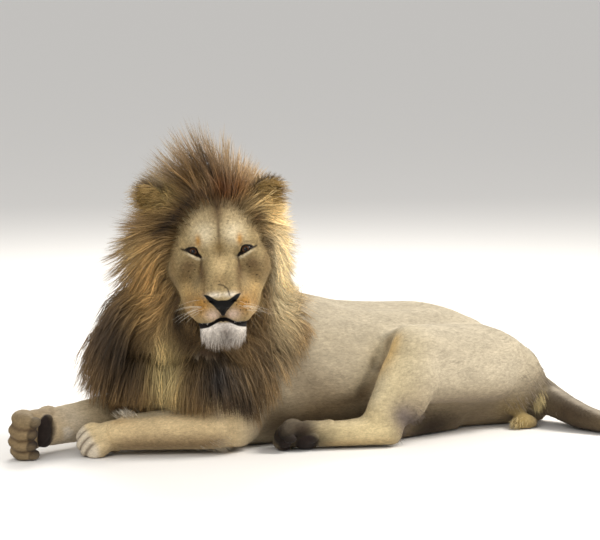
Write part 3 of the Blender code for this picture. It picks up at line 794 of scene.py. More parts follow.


# Markings of the short coat, some of them painted shade or painted light: where from and to, reach, tone,
# strength (the lion's own coordinates).
BODY_MARKS = (
    ("left forearm", (-0.380, -0.180, 0.080), (-0.700, -0.045, 0.075), 0.095, "dabf8e", 0.95),
    ("right forearm", (-0.420, 0.200, 0.080), (-0.760, 0.085, 0.080), 0.090, "c4ad84", 0.9),
    ("right wrist", (-0.760, 0.060, 0.060), (-0.800, 0.060, 0.060), 0.070, "d8d0c2", 0.8),
    # Painted light: a paler, lit top edge of the left forearm.
    ("left forearm, painted light on the top edge", (-0.440, -0.130, 0.125), (-0.610, -0.060, 0.118), 0.028, "dccba6", 0.9),
    ("left forearm, by the elbow", (-0.395, -0.165, 0.128), (-0.445, -0.135, 0.122), 0.026, "b48a48", 0.8),
    # Painted shade: the underside of the left forearm darkened where it lies on the floor.
    ("left forearm, painted shade underneath", (-0.400, -0.225, 0.030), (-0.660, -0.115, 0.028), 0.040, "523b22", 0.85),
    ("left wrist", (-0.650, -0.075, 0.098), (-0.560, -0.110, 0.066), 0.020, "a0763e", 0.6),
    ("elbow", (-0.376, -0.195, 0.110), (-0.372, -0.202, 0.050), 0.020, "a39684", 0.8),
    ("left forepaw", (-0.700, -0.050, 0.080), (-0.770, -0.010, 0.050), 0.060, "cdb78c", 0.8),
    ("right forepaw", (-0.850, 0.070, 0.080), (-0.930, 0.000, 0.070), 0.090, "92764a", 0.85),
    ("shank", (0.215, -0.255, 0.260), (0.110, -0.300, 0.110), 0.070, "c9b990", 0.7),
    ("hind foot", (0.110, -0.325, 0.050), (-0.060, -0.265, 0.045), 0.055, "d3c092", 0.9),
    ("hind foot, lower edge", (0.120, -0.345, 0.012), (-0.060, -0.285, 0.012), 0.016, "94764c", 0.7),
    ("heel", (0.165, -0.350, 0.095), (0.215, -0.335, 0.050), 0.046, "5e5452", 0.9),
    # Painted light: a golden lit rim along the front edge of the left thigh.
    ("painted light on the front of the thigh", (0.178, -0.258, 0.318), (0.150, -0.262, 0.215), 0.026, "d0ab68", 0.6),
    # Painted shade: the crease between the flank and the left thigh, darkest above the foot.
    ("painted shade in the hollow before the thigh", (0.195, -0.210, 0.300), (0.165, -0.212, 0.215), 0.016, "705f46", 0.7),
    ("painted shade in the hollow behind the knee", (0.165, -0.212, 0.215), (0.100, -0.215, 0.145), 0.022, "64533c", 0.8),
    ("painted shade in the hollow above the foot", (0.100, -0.215, 0.145), (-0.060, -0.205, 0.095), 0.028, "4e3f2c", 0.8),
    # Painted shadow: the thigh's underside, its lower rim and the belly by the floor darkened as if in shade.
    ("painted shadow under the thigh", (0.290, -0.190, 0.025), (0.660, -0.215, 0.030), 0.055, "2c221a", 0.95),
    ("painted shade on the thigh's lower rim", (0.270, -0.290, 0.110), (0.600, -0.240, 0.085), 0.030, "6e6053", 0.6),
    ("flank beside the mane", (-0.130, -0.225, 0.250), (-0.020, -0.215, 0.130), 0.065, "6a5c48", 0.6),
    # Painted shade: the flank darkened low down, near the floor.
    ("painted shade on the low flank", (-0.170, -0.180, 0.080), (0.120, -0.190, 0.060), 0.070, "5f4d33", 0.75),
    ("hind toes", (-0.135, -0.262, 0.060), (-0.210, -0.235, 0.050), 0.055, "35281c", 1.0),
    ("hind paw, sole", (-0.205, -0.262, 0.028), (-0.090, -0.308, 0.016), 0.052, "0e0a08", 1.0),
    ("thigh", (0.320, -0.300, 0.260), (0.600, -0.240, 0.210), 0.075, "b8ad97", 0.6),
    ("root of the tail", (0.770, -0.170, 0.100), (0.795, -0.300, 0.050), 0.068, "33291e", 1.0),
    ("tail", (0.797, -0.310, 0.045), (0.868, -0.465, 0.030), 0.095, "3a2e20", 1.0),
    ("tail, further", (0.868, -0.465, 0.030), (1.300, -0.560, 0.020), 0.060, "66573f", 0.8),
    ("beside the tail", (0.732, -0.185, 0.060), (0.735, -0.190, 0.105), 0.016, "dccb98", 0.9),
    ("scrotum", (0.640, -0.220, 0.030), (0.660, -0.220, 0.030), 0.050, "a08a58", 0.8),
)


def body_colour(p, out):
    """Short coat of trunk, legs and tail, with painted shade low down and painted light on top; out is the
    way the skin faces.
    """
    q = p - LION
    rgb = np.tile(colour("a0947d"), (len(p), 1))
    # Painted shade: the front of the body darker towards the bottom.
    low = smooth(0.27, 0.08, q[:, 2] + 0.06 * smooth(0.15, 0.30, q[:, 0]))
    rgb = blended(rgb, "7d6a4e", 0.7 * low * smooth(-0.3, 0.0, q[:, 0]))
    # Painted light: lighter where the skin faces up.
    rgb = blended(rgb, "a89e8a", 0.6 * smooth(0.3, 0.8, out[:, 2]))
    for _, start, end, reach, tone, strength in BODY_MARKS:
        rgb = blended(rgb, tone, strength * hump(far_from(p, start, end), reach))
    upper = smooth(0.80, 0.98, out[:, 2]) * smooth(0.74, 0.78, q[:, 0])
    rgb = blended(rgb, "a59a88", 0.6 * upper)  # the tail's back, lighter where it faces up: painted light
    rgb = blended(rgb, "4a3a2a", smooth(1.28, 1.36, q[:, 0]))
    for paw, tips in zip(PAWS, FORETOE_TIPS):
        a = to_paw(p, paw)
        toes = smooth(0.085, 0.110, a[:, 0]) * smooth(0.16, 0.14, a[:, 0]) * (lengths(a[:, 1:]) < 0.09)
        rgb = blended(rgb, tips, 0.6 * toes)
        # Painted shade in the creases between the toes.
        painted_toe_crease_shade = np.max([hump(a[:, 1] - c, 0.005) for c in (-0.030, 0.0, 0.030)], axis=0)
        rgb = blended(rgb, "4c3a28", 0.75 * toes * painted_toe_crease_shade)
    return blended(rgb, "231a16", pad_share(p))


# Markings of the face: how far aside (the same on both sides), how far up, reach, tone, strength.
FACE_MARKS = (
    ("forehead", (0.042, 0.056), (0.034, 0.036), "cabb9b", 0.92),
    ("forehead, top", (0.045, 0.108), (0.040, 0.028), "a5926e", 0.8),
    ("temple", (0.122, 0.045), (0.026, 0.050), "8f7b56", 0.8),
    ("midline at the hairline", (0.000, 0.118), (0.020, 0.034), "543f28", 0.8),
    ("midline", (0.000, 0.060), (0.0050, 0.060), "5d4c38", 0.8),
    ("between the eyes", (0.000, 0.008), (0.020, 0.022), "6a5430", 0.80),
    ("bridge", (0.000, -0.044), (0.024, 0.026), "bba377", 0.85),
    ("bridge, low", (0.000, -0.086), (0.036, 0.022), "86704c", 0.80),
    ("beside the bridge", (0.055, -0.062), (0.014, 0.036), "5a4425", 0.80),
    ("below the eye", (0.094, -0.040), (0.028, 0.024), "5c4830", 0.85),
    ("cheek", (0.104, -0.074), (0.036, 0.036), "4f3c22", 0.85),
    ("edge of the cheek", (0.140, -0.030), (0.014, 0.060), "6c5636", 0.7),
    ("lower cheek", (0.100, -0.118), (0.022, 0.028), "a88c5c", 0.85),
    ("jaw, edge", (0.098, -0.160), (0.012, 0.040), "7c6038", 0.7),
    ("muzzle", (0.064, -0.156), (0.030, 0.034), "966c30", 0.95),
    ("muzzle, outer rim", (0.090, -0.190), (0.014, 0.034), "b0946a", 0.7),
    ("muzzle, inner", (0.028, -0.186), (0.022, 0.016), "c0a896", 0.90),
    ("above the inner corner of the eye", (0.061, 0.032), (0.009, 0.018), "9a6c28", 0.85),
    ("above the nose", (0.022, -0.128), (0.024, 0.008), "d2c6b2", 0.85),
)
SCAR = ((-0.010, -0.098), (0.004, -0.101), (0.016, -0.112), (0.0190, -0.121), (0.020, -0.130))


def far_from_line(here, line):
    """Distance from a line of several straight parts."""
    return np.min([along_segment(here, a, b)[0] for a, b in zip(line, line[1:])], axis=0)


def chin_width(up):
    """Half the width of the white chin at a height."""
    return np.interp(up, (-0.282, -0.265, -0.245, -0.225, -0.205), (0.020, 0.040, 0.060, 0.068, 0.060))


def face_colour(h):
    """Markings of the face, with painted shade beneath the brows and on the middle of the chin, in the head's
    axes.
    """
    across, up = seen(h)
    x = np.abs(across)
    front = smooth(-0.02, 0.03, h[:, 0])
    rgb = np.tile(colour("94815b"), (len(h), 1))
    for _, middle, reach, tone, strength in FACE_MARKS:
        low_down = front if middle[1] < -0.12 else 1.0
        rgb = blended(rgb, tone, strength * spot(x, up, middle, reach) * low_down)
    rgb = blended(rgb, "33261a", 0.85 * hump(far_from_line(np.stack((across, up), 1), SCAR), 0.0022) * front)
    aside, height, low, high = at_eye(x, up)
    gap = np.maximum(np.maximum(height - high, low - height), 0)
    gap += np.maximum(np.abs(aside - 0.001) - 0.019, 0)
    near_eye = (h[:, 0] > -0.03).astype(float)
    under = hump(np.abs(height - low + 0.009), 0.0050) * hump(aside + 0.002, 0.022)
    rgb = blended(rgb, "d8c9a8", 0.85 * under * near_eye)
    # Painted shade beneath the brow, above each eye.
    over = hump(np.abs(height - high - 0.010), 0.0045) * hump(aside - 0.004, 0.016)
    rgb = blended(rgb, "6e5a40", 0.6 * over * near_eye)
    corner = lengths(np.stack((aside + 0.021, height + 0.0165), 1))
    lids = np.maximum(smooth(0.0062, 0.0030, gap), smooth(0.006, 0.003, corner))
    rgb = blended(rgb, "17110d", lids * near_eye)
    here = np.stack((x, up), 1)
    wing, _ = along_segment(here, (0.094, 0.003), (0.110, 0.010))
    rgb = blended(rgb, "1c140e", 0.95 * hump(wing, 0.0036) * near_eye)
    tear = hump(x - tear_line(up), 0.0035)
    tear *= smooth(-0.010, -0.02, up) * smooth(-0.075, -0.040, up)
    rgb = blended(rgb, "34261a", 0.70 * tear * near_eye)
    side_line = far_from_line(here, ((0.058, -0.050), (0.050, -0.090), (0.054, -0.122)))
    rgb = blended(rgb, "5a452b", 0.45 * hump(side_line, 0.0065) * front)
    below_lips = smooth(-0.206, -0.216, up)
    chin = below_lips * smooth(0.010, -0.006, x - chin_width(up)) * smooth(0.0, 0.03, h[:, 0])
    rgb = blended(rgb, "4a3a2a", below_lips * front)
    rgb = blended(rgb, "d2cac0", chin)
    # Painted shade: grey in the middle of the chin, under the lower lip.
    rgb = blended(rgb, "80756c", 0.75 * chin * spot(across, up, (0.006, -0.235), (0.020, 0.022)))
    rgb = blended(rgb, "4a3a2a", smooth(-0.262, -0.280, up))
    rgb = blended(rgb, "120e0c", lip_share(x, up) * smooth(0.092, 0.082, x) * front)
    rgb = rgb * np.exp(0.15 * ripple(h, 0.0060) + 0.14 * ripple(h + 1.0, 0.0022))[:, None]
    return blended(rgb, "070605", nose_share(h))


# Half the width of the nose leather, by height.
NOSE_HALF = (
    (-0.205, -0.190, -0.178, -0.160, -0.142, -0.126),
    (0.003, 0.004, 0.010, 0.026, 0.044, 0.055),
)


def nose_share(h):
    """1 on the bare leather of the nose and the groove below it."""
    across, up = seen(h)
    x = np.abs(across)
    top = -0.1440 + 0.018 * smooth(0.010, 0.050, x)
    half = np.interp(up, *NOSE_HALF)
    leather = smooth(0.0015, -0.0015, up - top) * smooth(0.0015, -0.0015, x - half)
    return leather * (h[:, 0] > 0.11) * (up > -0.208)


def skin_colour(p, out):
    """The short coat everywhere; where hair will cover it, the hair's own tone in shade."""
    h = to_head(p)
    on_head = smooth(-0.20, -0.12, h[:, 0]) * near_head(h)
    level = level_of(h)
    behind = (on_head * smooth(0.004, -0.012, h[:, 0] - hairline(level)))[:, None]
    rgb = body_colour(p, out)
    rgb = rgb * (1 - on_head[:, None]) + face_colour(h) * on_head[:, None]
    return rgb * (1 - behind) + 0.6 * mane_colour(p) * behind


def speck_share(p):
    """How strongly small dark flecks mark the coat."""
    h = to_head(p)
    across, up = seen(h)
    x = np.abs(across)
    cheek = 0.95 * spot(x, up, (0.095, -0.070), (0.045, 0.050))
    forehead = 0.55 * spot(x, up, (0.030, 0.060), (0.070, 0.070))
    bridge = 0.9 * spot(x, up, (0.0, -0.100), (0.045, 0.035))
    face = cheek + forehead + bridge
    elbow = 0.6 * hump(far_from(p, (-0.376, -0.195, 0.110), (-0.372, -0.202, 0.050)), 0.028)
    return np.clip(face * on_face(p) + elbow, 0, 0.8) + 0.10


# ---------------------------------------------------------------- materials
class Paint:
    """A material, and short calls for the nodes that feed its shader."""

    def __init__(self, name, roughness, specular, more=()):
        self.material = bpy.data.materials.new(name)
        self.material.use_nodes = True
        self.nodes, self.links = self.material.node_tree.nodes, self.material.node_tree.links
        self.surface = self.nodes["Principled BSDF"]
        constants = {"Roughness": roughness, "Specular IOR Level": specular, **dict(more)}
        for socket, number in constants.items():
            self.surface.inputs[socket].default_value = number

    def node(self, kind, output, inputs, **settings):
        """A new node's output; each input takes a number or another node's output."""
        found = self.nodes.new("ShaderNode" + kind)
        for key, value in settings.items():
            setattr(found, key, value)
        for socket, value in inputs.items():
            if isinstance(value, bpy.types.NodeSocket):
                self.links.new(value, found.inputs[socket])
            else:
                found.inputs[socket].default_value = value
        return found.outputs[output]

    def shade(self, socket, value):
        self.links.new(value, self.surface.inputs[socket])

    def noise(self, scale, detail=3.0, rough=0.5):
        return self.node("TexNoise", "Fac", {"Scale": scale, "Detail": detail, "Roughness": rough})

    def ranged(self, value, low, high, start=0.25, end=0.75):
        """The value from start to end as low to high."""
        ends = {"From Min": start, "From Max": end, "To Min": low, "To Max": high}
        return self.node("MapRange", "Result", {"Value": value, **ends})

    def math(self, kind, one, two):
        return self.node("Math", "Value", {0: one, 1: two}, operation=kind)

    def times(self, one, two):
        return self.math("MULTIPLY", one, two)

    def attribute(self, name, output="Fac"):
        return self.node("Attribute", output, {}, attribute_name=name)

    def scaled(self, vector, share):
        return self.node("VectorMath", "Vector", {0: vector, "Scale": share}, operation="SCALE")


def hair_paint(name, roughness=0.6, specular=0.25, scale=200, spread=0.15):
    """Hair: colour from the strand, streaked finely, with a soft gloss."""
    paint = Paint(name, roughness, specular)
    streaks = paint.ranged(paint.noise(scale, 4), 1 - spread, 1 + spread)
    paint.shade("Base Color", paint.scaled(paint.attribute("coat", "Color"), streaks))
    gloss = paint.ranged(paint.noise(scale * 2.3, 2), roughness - 0.10, roughness + 0.12)
    paint.shade("Roughness", gloss)
    return paint.material


def skin_paint():
    """Short fur close to the skin; leather on nose, lips, lids and pads."""
    paint = Paint("short_fur_and_leather", 0.8, 0.12, {"Sheen Weight": 0.03, "Sheen Roughness": 0.6})
    leather = paint.attribute("leather")
    patches = paint.ranged(paint.noise(22, 6, 0.65), 0.80, 1.18)
    hairs = paint.ranged(paint.noise(150, 6, 0.75), 0.60, 1.38)
    fleck = paint.node("TexVoronoi", "Distance", {"Scale": 130})
    some = paint.ranged(paint.noise(55, 2), 0, 1, 0.46, 0.60)
    dark = paint.times(paint.ranged(fleck, 1, 0, 0.10, 0.34), some)
    dark = paint.times(dark, paint.attribute("specks"))
    place = {0: paint.attribute("seen", "Vector"), 1: (105, 82, 0)}
    place = paint.node("VectorMath", "Vector", place, operation="MULTIPLY")
    rows = paint.node("TexVoronoi", "Distance", {"Vector": place, "Scale": 1, "Randomness": 0.45})
    dash = paint.times(paint.ranged(rows, 1, 0, 0.14, 0.36), paint.attribute("whisker_rows"))
    clear = paint.math("SUBTRACT", 1, paint.math("MAXIMUM", dark, dash))
    share = paint.times(paint.times(patches, hairs), clear)
    paint.shade("Base Color", paint.scaled(paint.attribute("coat", "Color"), share))
    cobbles = paint.node("TexVoronoi", "Distance", {"Scale": 420}, feature="SMOOTH_F1")
    single, clumps = paint.times(paint.noise(300, 5, 0.65), 0.0026), paint.times(paint.noise(60, 4), 0.0040)
    fur = paint.math("ADD", single, clumps)
    bare = paint.times(paint.times(cobbles, -0.0010), leather)
    furred = paint.times(fur, paint.math("SUBTRACT", 1, leather))
    relief = {"Strength": 0.7, "Height": paint.math("ADD", bare, furred)}
    paint.shade("Normal", paint.node("Bump", "Normal", relief))
    rough = paint.ranged(paint.noise(180, 3), 0.72, 0.92)
    paint.shade("Roughness", paint.math("SUBTRACT", rough, paint.times(leather, 0.12)))
    return paint.material


# ---------------------------------------------------------------- eyes
# Tones of the eye, by the share of the way from the middle of the pupil; the amber iris is darkened to brown,
# partly painted shade from the brow.
IRIS = (
    (0.0, "050403"), (0.20, "050403"), (0.23, "2c1a0c"), (0.36, "4a2c12"),
    (0.46, "28180c"), (0.53, "120c08"), (0.60, "1c140e"), (1.0, "30261e"),
)


def eye_paint():
    """Iris of amber darkened to brown by painted shade, with a round pupil and dark rim under a wet cornea,
    by distance from the gaze axis.
    """
    paint = Paint("lion_eye", 0.25, 0.25, {"Coat Weight": 0.15, "Coat Roughness": 0.02, "IOR": 1.38})
    ramp = paint.nodes.new("ShaderNodeValToRGB")
    ramp.color_ramp.interpolation = "EASE"
    band = ramp.color_ramp.elements
    band[0].position, band[1].position = IRIS[0][0], IRIS[-1][0]
    for place, _ in IRIS[1:-1]:
        band.new(place)
    for stop, (_, tone) in zip(band, IRIS):
        stop.color = (*colour(tone), 1)
    paint.links.new(paint.attribute("from_pupil"), ramp.inputs["Fac"])
    fibres = paint.node("TexNoise", "Color", {"Scale": 900, "Detail": 3})
    tone = {0: 0.5, 1: ramp.outputs["Color"], 2: fibres}
    paint.shade("Base Color", paint.node("MixRGB", "Color", tone, blend_type="SOFT_LIGHT"))
    return paint.material


def build_eyes():
    """Two eyeballs with a slight cornea, turned along the gaze."""
    paint = eye_paint()
    for side, node in ((1, "eye_left"), (-1, "eye_right")):
        bm = bmesh.new()
        bmesh.ops.create_uvsphere(bm, u_segments=64, v_segments=48, radius=EYE_RADIUS)
        mesh = bpy.data.meshes.new("lion_" + node)
        bm.to_mesh(mesh)
        bm.free()
        p = arrays_of(mesh)
        angle = np.arccos(np.clip(p[:, 2] / EYE_RADIUS, -1, 1))
        p *= (1 + 0.07 * smooth(0.62, 0.0, angle))[:, None]
        up = np.array((-GAZE[2], 0, GAZE[0]))
        h = p @ np.array((np.cross(up, GAZE), up, GAZE))
        set_points(mesh, from_head(h + np.array((EYE_FORWARD, side * EYE_ASIDE, 0))))
        put(mesh, "from_pupil", angle / 1.2)
        mesh.shade_smooth()
        mesh.materials.append(paint)
        ball = make_object("lion_" + node, mesh)
        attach(ball, "root")
        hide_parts(node)


# ---------------------------------------------------------------- hair
class Roots:
    """Random places on the skin with their outward direction and their place on its unwrap."""

    def __init__(self, skin, many, density):
        mesh = skin.data
        mesh.calc_loop_triangles()
        count = len(mesh.loop_triangles)
        corners, loops = np.empty(count * 3, np.int32), np.empty(count * 3, np.int32)
        mesh.loop_triangles.foreach_get("vertices", corners)
        mesh.loop_triangles.foreach_get("loops", loops)
        corners, loops = corners.reshape(-1, 3), loops.reshape(-1, 3)
        uv = np.empty(len(mesh.loops) * 2, np.float32)
        mesh.uv_layers["OFBake"].data.foreach_get("uv", uv)
        uv = uv.reshape(-1, 2)
        p, n = arrays_of(mesh), arrays_of(mesh, "normal")
        a, b, c = p[corners[:, 0]], p[corners[:, 1]], p[corners[:, 2]]
        weight = lengths(np.cross(b - a, c - a)) * density((a + b + c) / 3)
        pick = rng.choice(count, many, p=weight / weight.sum())
        r = np.sqrt(rng.random(many))
        t = rng.random(many)
        share = np.stack((1 - r, r * (1 - t), r * t), 1)[..., None]
        self.p = (p[corners[pick]] * share).sum(1)
        self.n = unit((n[corners[pick]] * share).sum(1))
        self.uv = (uv[loops[pick]] * share).sum(1)


def flat_on(v, n):
    """The part of v that lies in the surface whose normal is n."""
    return v - n * (v * n).sum(-1, keepdims=True)


def tubes(name, paths, radii, tones, uv, paint, ridge=None):
    """Closed tapered strands of three sides, as pieces of less than 200,000 triangles.

    Given the way out of the skin, a strand is a flat blade with its ridge outwards.
    """
    sides = HAIR_SIDES
    many, points = paths.shape[:2]
    each = (points - 2) * sides * 2 + sides + (sides - 2)
    part = PIECE_TRIANGLES // each
    for number, start in enumerate(range(0, many, part)):
        chosen = slice(start, start + part)
        out = None if ridge is None else ridge[chosen]
        mesh = tube_mesh(f"{name}_{number + 1}", paths[chosen], radii[chosen], tones[chosen], uv[chosen], out)
        mesh.materials.append(paint)
        mesh.shade_smooth()
        if out is not None:
            mesh.normals_split_custom_set_from_vertices(np.repeat(out, (points - 1) * sides + 1, axis=0))
        body = make_object(f"{name}_{number + 1}", mesh)
        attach(body, "root")


def tube_mesh(name, paths, radii, tones, uv, ridge):
    """One mesh of strands, with their tones and their patches on the unwrap."""
    sides = HAIR_SIDES
    many, points = paths.shape[:2]
    ahead = unit(np.gradient(paths, axis=1))
    if ridge is None:
        first = unit(np.cross(ahead, unit(rng.normal(size=(many, 1, 3)))))
        second = np.cross(ahead, first)
        turn = 2 * math.pi * np.arange(sides) / sides
        ring = first[:, :, None] * np.cos(turn)[:, None] + second[:, :, None] * np.sin(turn)[:, None]
    else:
        second = np.broadcast_to(ridge[:, None], paths.shape)
        first = unit(np.cross(second, ahead))
        ring = np.stack((first - 0.2 * second, 0.25 * second, -first - 0.2 * second), 2)
    body = paths[:, :-1, None] + ring[:, :-1] * radii[:, :-1, None, None]
    vertices = np.concatenate((body.reshape(many, -1, 3), paths[:, -1:]), 1)
    per = (points - 1) * sides + 1
    faces = []
    for k in range(points - 2):
        for i in range(sides):
            j = (i + 1) % sides
            a, b, c, d = k * sides + i, k * sides + j, (k + 1) * sides + j, (k + 1) * sides + i
            faces += [(a, b, c), (a, c, d)]
    last = (points - 2) * sides
    faces += [(last + i, last + (i + 1) % sides, per - 1) for i in range(sides)]
    faces += [(0, i + 1, i) for i in range(1, sides - 1)]
    faces = (np.array(faces)[None] + np.arange(many)[:, None, None] * per).reshape(-1, 3)
    mesh = mesh_from(name, vertices.reshape(-1, 3), faces)
    spread = np.repeat(tones[:, :-1], sides, axis=1)
    put(mesh, "coat", np.concatenate((spread, tones[:, -1:]), 1).reshape(-1, 3), "FLOAT_COLOR")
    along = np.append(np.repeat(np.arange(points - 1), sides), points - 1) / (points - 1) - 0.5
    around_it = np.append(np.tile(np.arange(sides), points - 1), 1) / sides - 0.5
    patch = uv[:, None] + PATCH * np.stack((along, around_it), 1)[None]
    layer = mesh.uv_layers.new(name="OFBake")
    layer.data.foreach_set("uv", patch.reshape(-1, 2)[faces.ravel()].astype(np.float32).ravel())
    return mesh


def pushed_out(paths, tree, margin):
    """Keeps the points after the root at least their margin outside the skin."""
    paths = paths.copy()
    for i in range(paths.shape[0]):
        for k in range(1, paths.shape[1]):
            near, normal, _, _ = tree.find_nearest(paths[i, k], SEARCH_REACH)
            if near is None:
                continue
            height = (Vector(paths[i, k]) - near).dot(normal)
            if height < margin[i, k]:
                paths[i, k] += np.array(normal) * (margin[i, k] - height)
    return paths


def combed(guides, normals, at_tip):
    """Strands around each guide: apart at the root, drawn together or loose at the tip."""
    many = len(guides) * PER_GUIDE
    g = np.repeat(guides, PER_GUIDE, axis=0)
    n = np.repeat(normals, PER_GUIDE, axis=0)
    steps = g.shape[1] - 1
    share = np.linspace(0, 1, STRAND_POINTS)[None] * (0.72 + 0.33 * rng.random((many, 1)))
    place = np.clip(share * steps, 0, steps - 1e-6)
    low = place.astype(int)
    rest = (place - low)[..., None]
    rows = np.arange(many)[:, None]
    path = g[rows, low] * (1 - rest) + g[rows, low + 1] * rest
    root_shift = flat_on(rng.normal(size=(many, 3)), n) * ROOTS_APART
    way = unit(g[:, -1] - g[:, 0])
    tip_shift = flat_on(rng.normal(size=(many, 3)), way) * np.repeat(at_tip, PER_GUIDE)[:, None]
    s = share[..., None]
    path += root_shift[:, None] * np.maximum(1 - s, 0) ** 1.5 + tip_shift[:, None] * s**1.3
    wave = flat_on(rng.normal(size=(many, 3)), way)[:, None] * WAVE
    turns = s * (0.7 + rng.random((many, 1, 1))) + 2 * rng.random((many, 1, 1))
    path += wave * np.sin(math.pi * turns) * s
    return path


def hairline(angle):
    """How far forward the mane starts, by degrees from level (-90 below, 90 above)."""
    return np.interp(
        angle,
        (-90, -75, -63, -50, -38, -20, 10, 30, 60, 90),
        (0.040, 0.032, 0.010, -0.008, -0.034, -0.052, -0.058, -0.062, -0.066, -0.060),
    )


# How far the mane reaches from between the eyes, as seen from the front, by degrees from the left
# over the top.
MANE_REACH = np.transpose((
    (-75, 0.450), (-65, 0.434), (-57, 0.383), (-45, 0.330), (-27, 0.265), (0, 0.248), (24, 0.252),
    (40, 0.262), (50, 0.280), (58, 0.296), (73, 0.320), (79, 0.355), (89, 0.385), (97, 0.410),
    (104, 0.410), (110, 0.405), (118, 0.378), (128, 0.350), (143, 0.320), (154, 0.312), (169, 0.335),
    (183, 0.365), (195, 0.385), (204, 0.405), (211, 0.438), (219, 0.448), (230, 0.460), (255, 0.450),
))
# How many degrees the hair turns on its way out.
MANE_SWEEP = (
    (-75, -30, 0, 25, 45, 60, 80, 100, 115, 130, 145, 180, 215, 255),
    (-4, -14, -20, -18, -12, -8, 4, 14, 16, 14, 20, 28, 12, 4),
)

# How low the mane starts on the trunk, by the distance along it.
MANE_LOW = ((-0.60, -0.36, -0.24, -0.13), (0.200, 0.170, 0.230, 0.330))


def around(x, y):
    """Degrees from the left over the top, from -90 to 270."""
    return (np.degrees(np.arctan2(y, x)) + 90) % 360 - 90


def trail(start, way, length, steps, bend):
    """Strands that leave along the way in equal steps and bend a little at each."""
    path, d = [start], unit(way)
    for _ in range(steps):
        path.append(path[-1] + d * (length / steps)[:, None])
        d = unit(d + bend)
    return np.stack(path, 1)


def kept_within(paths, loose):
    """No strand reaches further from the face than the mane does, seen from the front."""
    h = to_head(paths.reshape(-1, 3))
    x, y = seen(h)
    most = np.interp(around(x, y), *MANE_REACH) * np.repeat(loose, paths.shape[1])
    share = np.minimum(1, most / np.maximum(np.hypot(x, y), 1e-6))
    up = (y * share + h[:, 0] * math.sin(GAZE_UP)) / math.cos(GAZE_UP)
    return from_head(np.stack((h[:, 0], x * share, up), 1)).reshape(paths.shape)


def ring_guides(skin, many):
    """The mane that rings the face: leaves the hairline, swings out and back."""

    def density(p):
        h = to_head(p)
        level = level_of(h)
        edge = hairline(level)
        here = smooth(edge + 0.004, edge - 0.004, h[:, 0]) * smooth(-0.215, -0.185, h[:, 0])
        here *= (h[:, 2] > -0.24) * (lengths(h + np.array((0.06, 0, 0.04))) < 0.30)
        here *= smooth(0.056, 0.070, lengths(ear_place(h)))
        above = smooth(28, 45, level) * smooth(75, 60, level)
        return here * (1 + 1.5 * smooth(edge - 0.07, edge - 0.01, h[:, 0]) + 1.6 * above)

    roots = Roots(skin, many, density)
    h = to_head(roots.p)
    n = roots.n @ HEAD_AXES.T
    level = level_of(h)
    x, y = seen(h)
    angle = around(x, y)
    depth = np.clip((hairline(level) - h[:, 0]) / 0.20, 0, 1)
    goal = np.radians(angle + np.interp(angle, *MANE_SWEEP) + rng.normal(size=many) * 5)
    edge = np.hypot(x, y)
    reach = np.interp(np.degrees(goal), *MANE_REACH)
    crest = hump(angle - 98, 32)
    least = 0.40 + 0.50 * crest + 0.35 * hump(angle - 152, 22) + 0.5 * hump(angle - 46, 14)
    airy = 0.4 * hump(np.degrees(goal) - 62, 12)  # thin between the crest and the left ear
    full = np.where(rng.random(many) < 0.22 + 0.5 * airy, 0.68, 0.92) + 0.16 * rng.random(many)
    full = np.where(crest > 0.5, 0.62 + 0.50 * rng.random(many) ** 0.8, full)
    far = edge + (reach - edge) * (least + (1 - least) * smooth(0.0, 0.40, depth)) * full
    far = np.maximum(far, edge + 0.03)
    back = h[:, 0] - 0.030 - 0.075 * smooth(0, 0.45, depth) - 0.14 * smooth(0.45, 1, depth)
    back -= crest * (far - edge) * (0.55 + 0.45 * rng.random(many))
    back = np.maximum(back, -0.34 - 0.07 * crest + 0.06 * rng.random(many))
    lift = (far * np.sin(goal) + back * math.sin(GAZE_UP)) / math.cos(GAZE_UP)
    tip = np.stack((back, far * np.cos(goal), lift), 1)
    length = lengths(tip - h)
    out = np.stack((np.zeros(many), np.cos(np.radians(angle)), np.sin(np.radians(angle))), 1)
    start = unit(0.8 * n + 0.5 * out + np.array((0.25, 0, 0)) * (1 - depth)[:, None])
    end = unit(np.stack((np.full(many, -0.4), np.cos(goal), np.sin(goal)), 1) + unit(tip - h))
    a, b = h + start * length[:, None] * 0.38, tip - end * length[:, None] * 0.34
    s = np.linspace(0, 1, GUIDE_POINTS)[None, :, None]
    path = h[:, None] * (1 - s) ** 3 + 3 * a[:, None] * s * (1 - s) ** 2
    path = path + 3 * b[:, None] * s**2 * (1 - s)
    return from_head(path + tip[:, None] * s**3), roots


